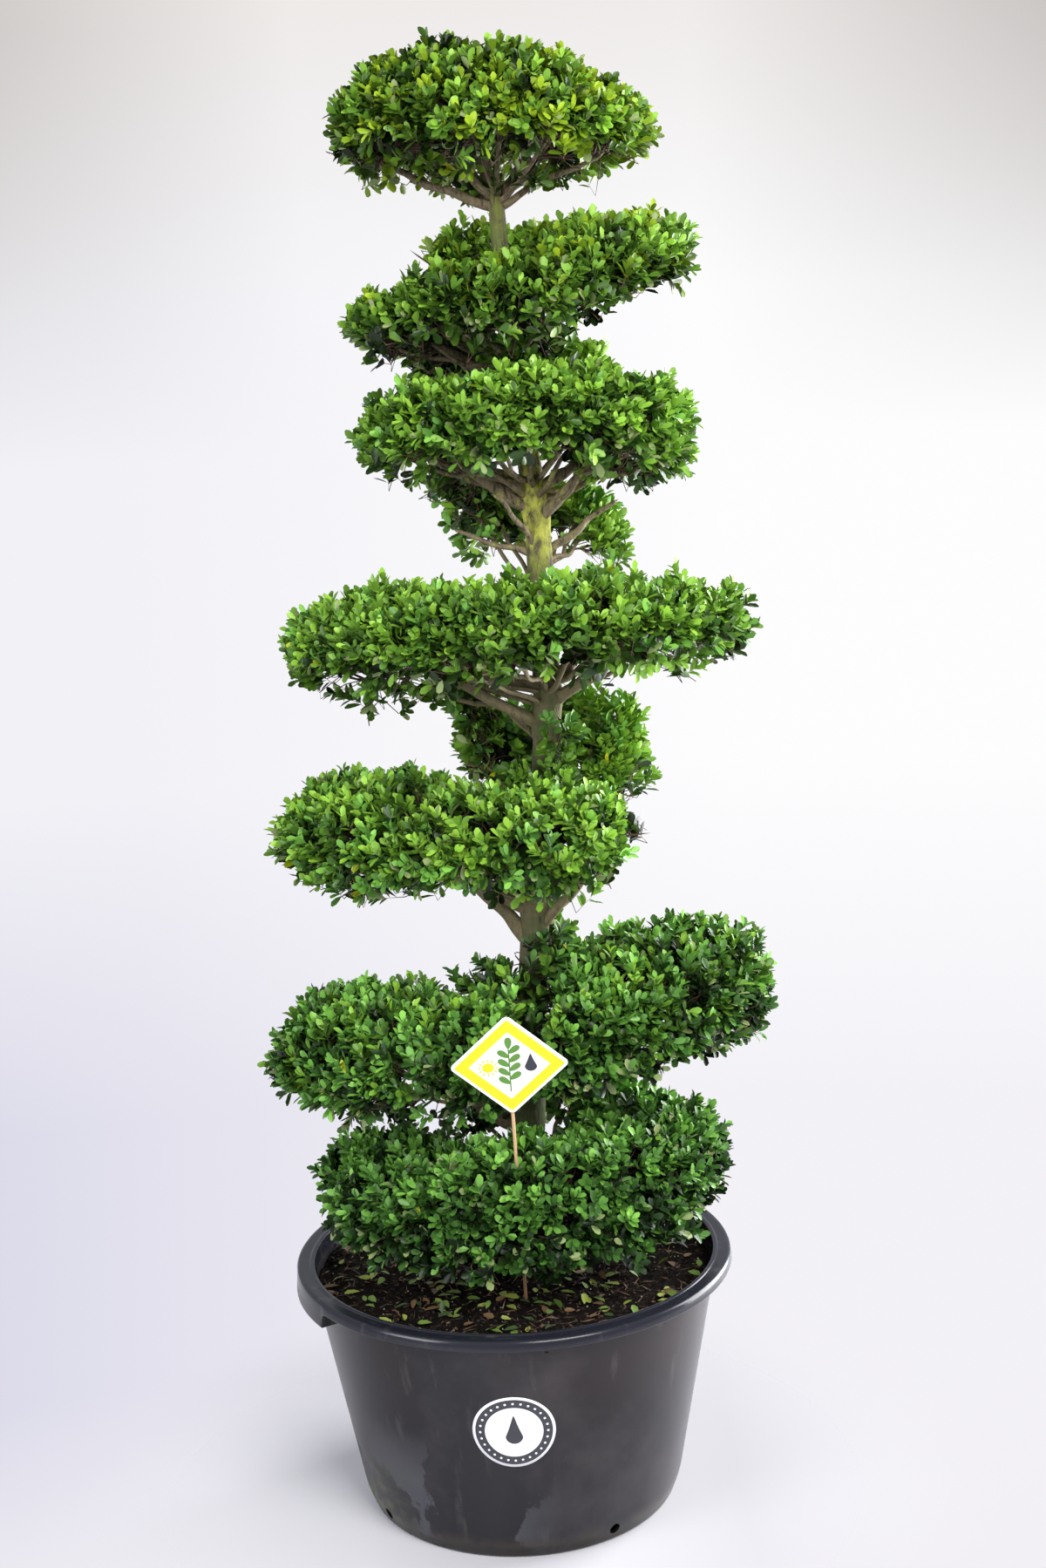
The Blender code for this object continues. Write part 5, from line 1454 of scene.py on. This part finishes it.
rays = np.array(SUN_PLACE) + np.stack([
    ray_way * RAY_START - ray_side, ray_way * RAY_END, ray_way * RAY_START + ray_side], 1)
rays = (rays.reshape(-1, 2), np.arange(3 * SUN_RAYS).reshape(-1, 3))
water = fan(drop_outline(*DROP_HALVES) + DROP_PLACE, DROP_PLACE)
stem = (np.array([(side * SPRIG_HALF_WIDTH, end) for side, end in (
    (-1, SPRIG_FOOT), (1, SPRIG_FOOT), (1, SPRIG_TIP), (-1, SPRIG_TIP))]),
    np.array(((0, 1, 2), (0, 2, 3))))
(c, s), (wide, long) = ring(16).T, SPRIG_LEAF_HALVES
leaf_shape = np.stack([wide * s * (1 - 0.25 * c), long - long * c], -1)
leaf_level = np.linspace(SPRIG_FOOT + 0.014, SPRIG_TIP, SPRIG_LEAVES)
leaf_lean = np.where(np.arange(SPRIG_LEAVES) % 2, 1, -1) * np.radians(SPRIG_LEAN)
leaf_lean[-1] = 0
sprig = []
for level, lean in zip(leaf_level, leaf_lean):
    turned = leaf_shape @ np.array(((np.cos(lean), -np.sin(lean)), (np.sin(lean), np.cos(lean))))
    sprig.append(fan(turned[::-1] + (0, level), turned.mean(0) + (0, level)))
prints = [border, sun, rays, water, stem, *sprig]
print_inks = [0, 0, 0, 1] + [2] * (1 + len(sprig))
flat, print_faces = joined(prints)
above = 1 + np.repeat(np.minimum(print_inks, 1), [len(points) for points, _ in prints])
label_print = new_piece(
    "label_print", on_board(flat, BOARD_THICKNESS / 2 + PRINT_LIFT * above[:, None]), print_faces,
    inks, np.repeat(print_inks, [len(faces) for _, faces in prints]), smooth=False,
)
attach(label_print, "root")


# ---------------------------------------------------------------- studio
# A pale floor that fades into a backdrop, in soft light from all round. Where the camera sees
# them, both carry painted light: the floor is painted lighter in the pot's shadow and darker
# near the edge lamp, and the backdrop is painted brighter on the right, with a painted shadow
# low on the left and painted shade at the top, darkest in its top corners. There are lamps in
# front to the right and above, in front to the left, fainter, and behind to the right, the
# strongest. The camera is at a grown person's eye height.

FLOOR_RADIUS = 12.0
FLOOR_SINK = 0.0005  # below the tub's foot
FLOOR_COLOUR = (0.535, 0.532, 0.566)
FLOOR_SHADED = (0.625, 0.619, 0.665)  # where the pot stands between it and the edge lamp
FLOOR_LIT = (0.385, 0.380, 0.402)  # near the edge lamp
FLOOR_FADE = (0.27, 0.78)  # distances between which the floor gives way to the backdrop
SKY_LIGHT = (0.49, 0.50, 0.53)
BACKDROP_LEFT = (0.885, 0.880, 0.925)
BACKDROP_RIGHT = (0.985, 0.985, 0.995)
BACKDROP_TOP = (0.855, 0.828, 0.815)
BACKDROP_CORNER = (0.575, 0.550, 0.540)
BACKDROP_FOOT = (0.885, 0.868, 0.905)
BACKDROP_LOW_LEFT = (0.716, 0.708, 0.820)
BACKDROP_LOW_RIGHT = (0.896, 0.882, 0.925)
CAMERA_PLACE = (0.0478, -3.183, 1.7299)
CAMERA_PITCH = 0.1786
CAMERA_ROLL = 0.0441
CAMERA_LENS = 2400 / 1799 * 36

floor_points, floor_faces = disc([0, 0.3, 0.6, 1, 1.5, 2, 3, 4, 6, 8, FLOOR_RADIUS], 128)
floor_points = np.concatenate([floor_points, np.full((len(floor_points), 1), -FLOOR_SINK)], 1)
floor_finish, tree, shader = new_finish("studio_floor", FLOOR_COLOUR, 0.7)
spot = node(tree, "ShaderNodeTexCoord").outputs["Object"]
away = node(tree, "ShaderNodeVectorMath", {0: spot}, operation="LENGTH").outputs["Value"]
camera_ray = node(tree, "ShaderNodeLightPath").outputs["Is Camera Ray"]
x, y, _ = object_axes(tree)
# Seen by the camera, the floor is painted lighter where the pot shades it from the edge lamp and
# darker near that lamp, to even out its light and shade.
near_lamp = ramp(tree, x, -0.25, 0.35)
for start, end in ((0.0, 0.40), (-0.30, -0.44)):
    near_lamp = maths(tree, "MAXIMUM", near_lamp, ramp(tree, y, start, end, 0.0, 0.8))
seen_colour = blend(tree, near_lamp, FLOOR_SHADED, FLOOR_LIT)
dress(tree, shader, layered(
    tree, FLOOR_COLOUR, (seen_colour, camera_ray),
    ((0.62, 0.62, 0.66), patch(tree, 3.0, 0.4, 0.4), 0.06),
))
fade = ramp(tree, away, *FLOOR_FADE, interpolation_type="SMOOTHSTEP")
tree.links.new(maths(tree, "SUBTRACT", 1.0, product(tree, camera_ray, fade)), shader.inputs["Alpha"])
floor = new_piece("floor", floor_points, floor_faces, [floor_finish])

world = bpy.data.worlds.new("studio")
bpy.context.scene.world = world
world.use_nodes = True
tree = world.node_tree
sky = tree.nodes["Background"]
sky.inputs["Color"].default_value = (*SKY_LIGHT, 1)
x, _, z = node(tree, "ShaderNodeSeparateXYZ", {
    0: node(tree, "ShaderNodeTexCoord").outputs["Generated"]}).outputs
low = layered(tree, BACKDROP_LOW_LEFT, (BACKDROP_LOW_RIGHT, ramp(tree, x, -0.25, 0.02)),
              (BACKDROP_FOOT, ramp(tree, z, -0.43, -0.52)))
aside = maths(tree, "ABSOLUTE", x)
# The backdrop's shading is painted: brighter on the right, a painted shadow low on the left, and
# painted shade at the top, darkest in the top corners.
backdrop = layered(
    tree, BACKDROP_LEFT,
    (BACKDROP_RIGHT, ramp(tree, x, -0.18, 0.10)),
    (low, ramp(tree, z, -0.17, -0.32)),
    (BACKDROP_TOP, ramp(tree, z, 0.05, 0.18)),
    (BACKDROP_CORNER, ramp(tree, aside, 0.09, 0.25), ramp(tree, z, -0.02, 0.17)),
)
seen = node(tree, "ShaderNodeBackground", {"Color": backdrop})
chosen = node(tree, "ShaderNodeMixShader", {
    0: node(tree, "ShaderNodeLightPath").outputs["Is Camera Ray"], 1: sky.outputs[0],
    2: seen.outputs[0],
})
tree.links.new(chosen.outputs[0], tree.nodes["World Output"].inputs["Surface"])

# Square soft lamps: place, target, size, power and colour.
for name, place, target, size, power, colour in (
    ("key_lamp", (1.4, -2.9, 3.0), (0, 0, 1.3), (2.0, 2.0), 170, (1.0, 0.985, 0.95)),
    ("fill_lamp", (-2.8, -2.2, 2.0), (0, 0, 1.0), (1.8, 2.4), 96, (0.97, 0.98, 1.0)),
    ("edge_lamp", (2.8, 1.2, 1.2), (0, 0, 0.9), (2.5, 2.8), 340, (0.98, 0.98, 1.0)),
):
    light = bpy.data.lights.new(name, "AREA")
    light.shape = "RECTANGLE"
    light.size, light.size_y = size
    light.energy, light.color = power, colour
    item = bpy.data.objects.new(name, light)
    bpy.context.scene.collection.objects.link(item)
    item.location = place
    item.rotation_mode = "QUATERNION"
    item.rotation_quaternion = (item.location - Vector(target)).to_track_quat("Z", "Y")

camera_data = bpy.data.cameras.new("camera")
camera_data.lens = CAMERA_LENS
camera_data.sensor_width = 36
camera = bpy.data.objects.new("camera", camera_data)
bpy.context.scene.collection.objects.link(camera)
right, forward = np.array((1.0, 0, 0)), np.array((0, np.cos(CAMERA_PITCH), -np.sin(CAMERA_PITCH)))
level_up = np.cross(right, forward)
side = right * np.cos(CAMERA_ROLL) - level_up * np.sin(CAMERA_ROLL)
top = right * np.sin(CAMERA_ROLL) + level_up * np.cos(CAMERA_ROLL)
basis = np.eye(4)
basis[:3, 0], basis[:3, 1], basis[:3, 2], basis[:3, 3] = side, top, -forward, CAMERA_PLACE
camera.matrix_world = Matrix(basis.tolist())
bpy.context.scene.camera = camera
bpy.context.scene.view_settings.view_transform = "Standard"
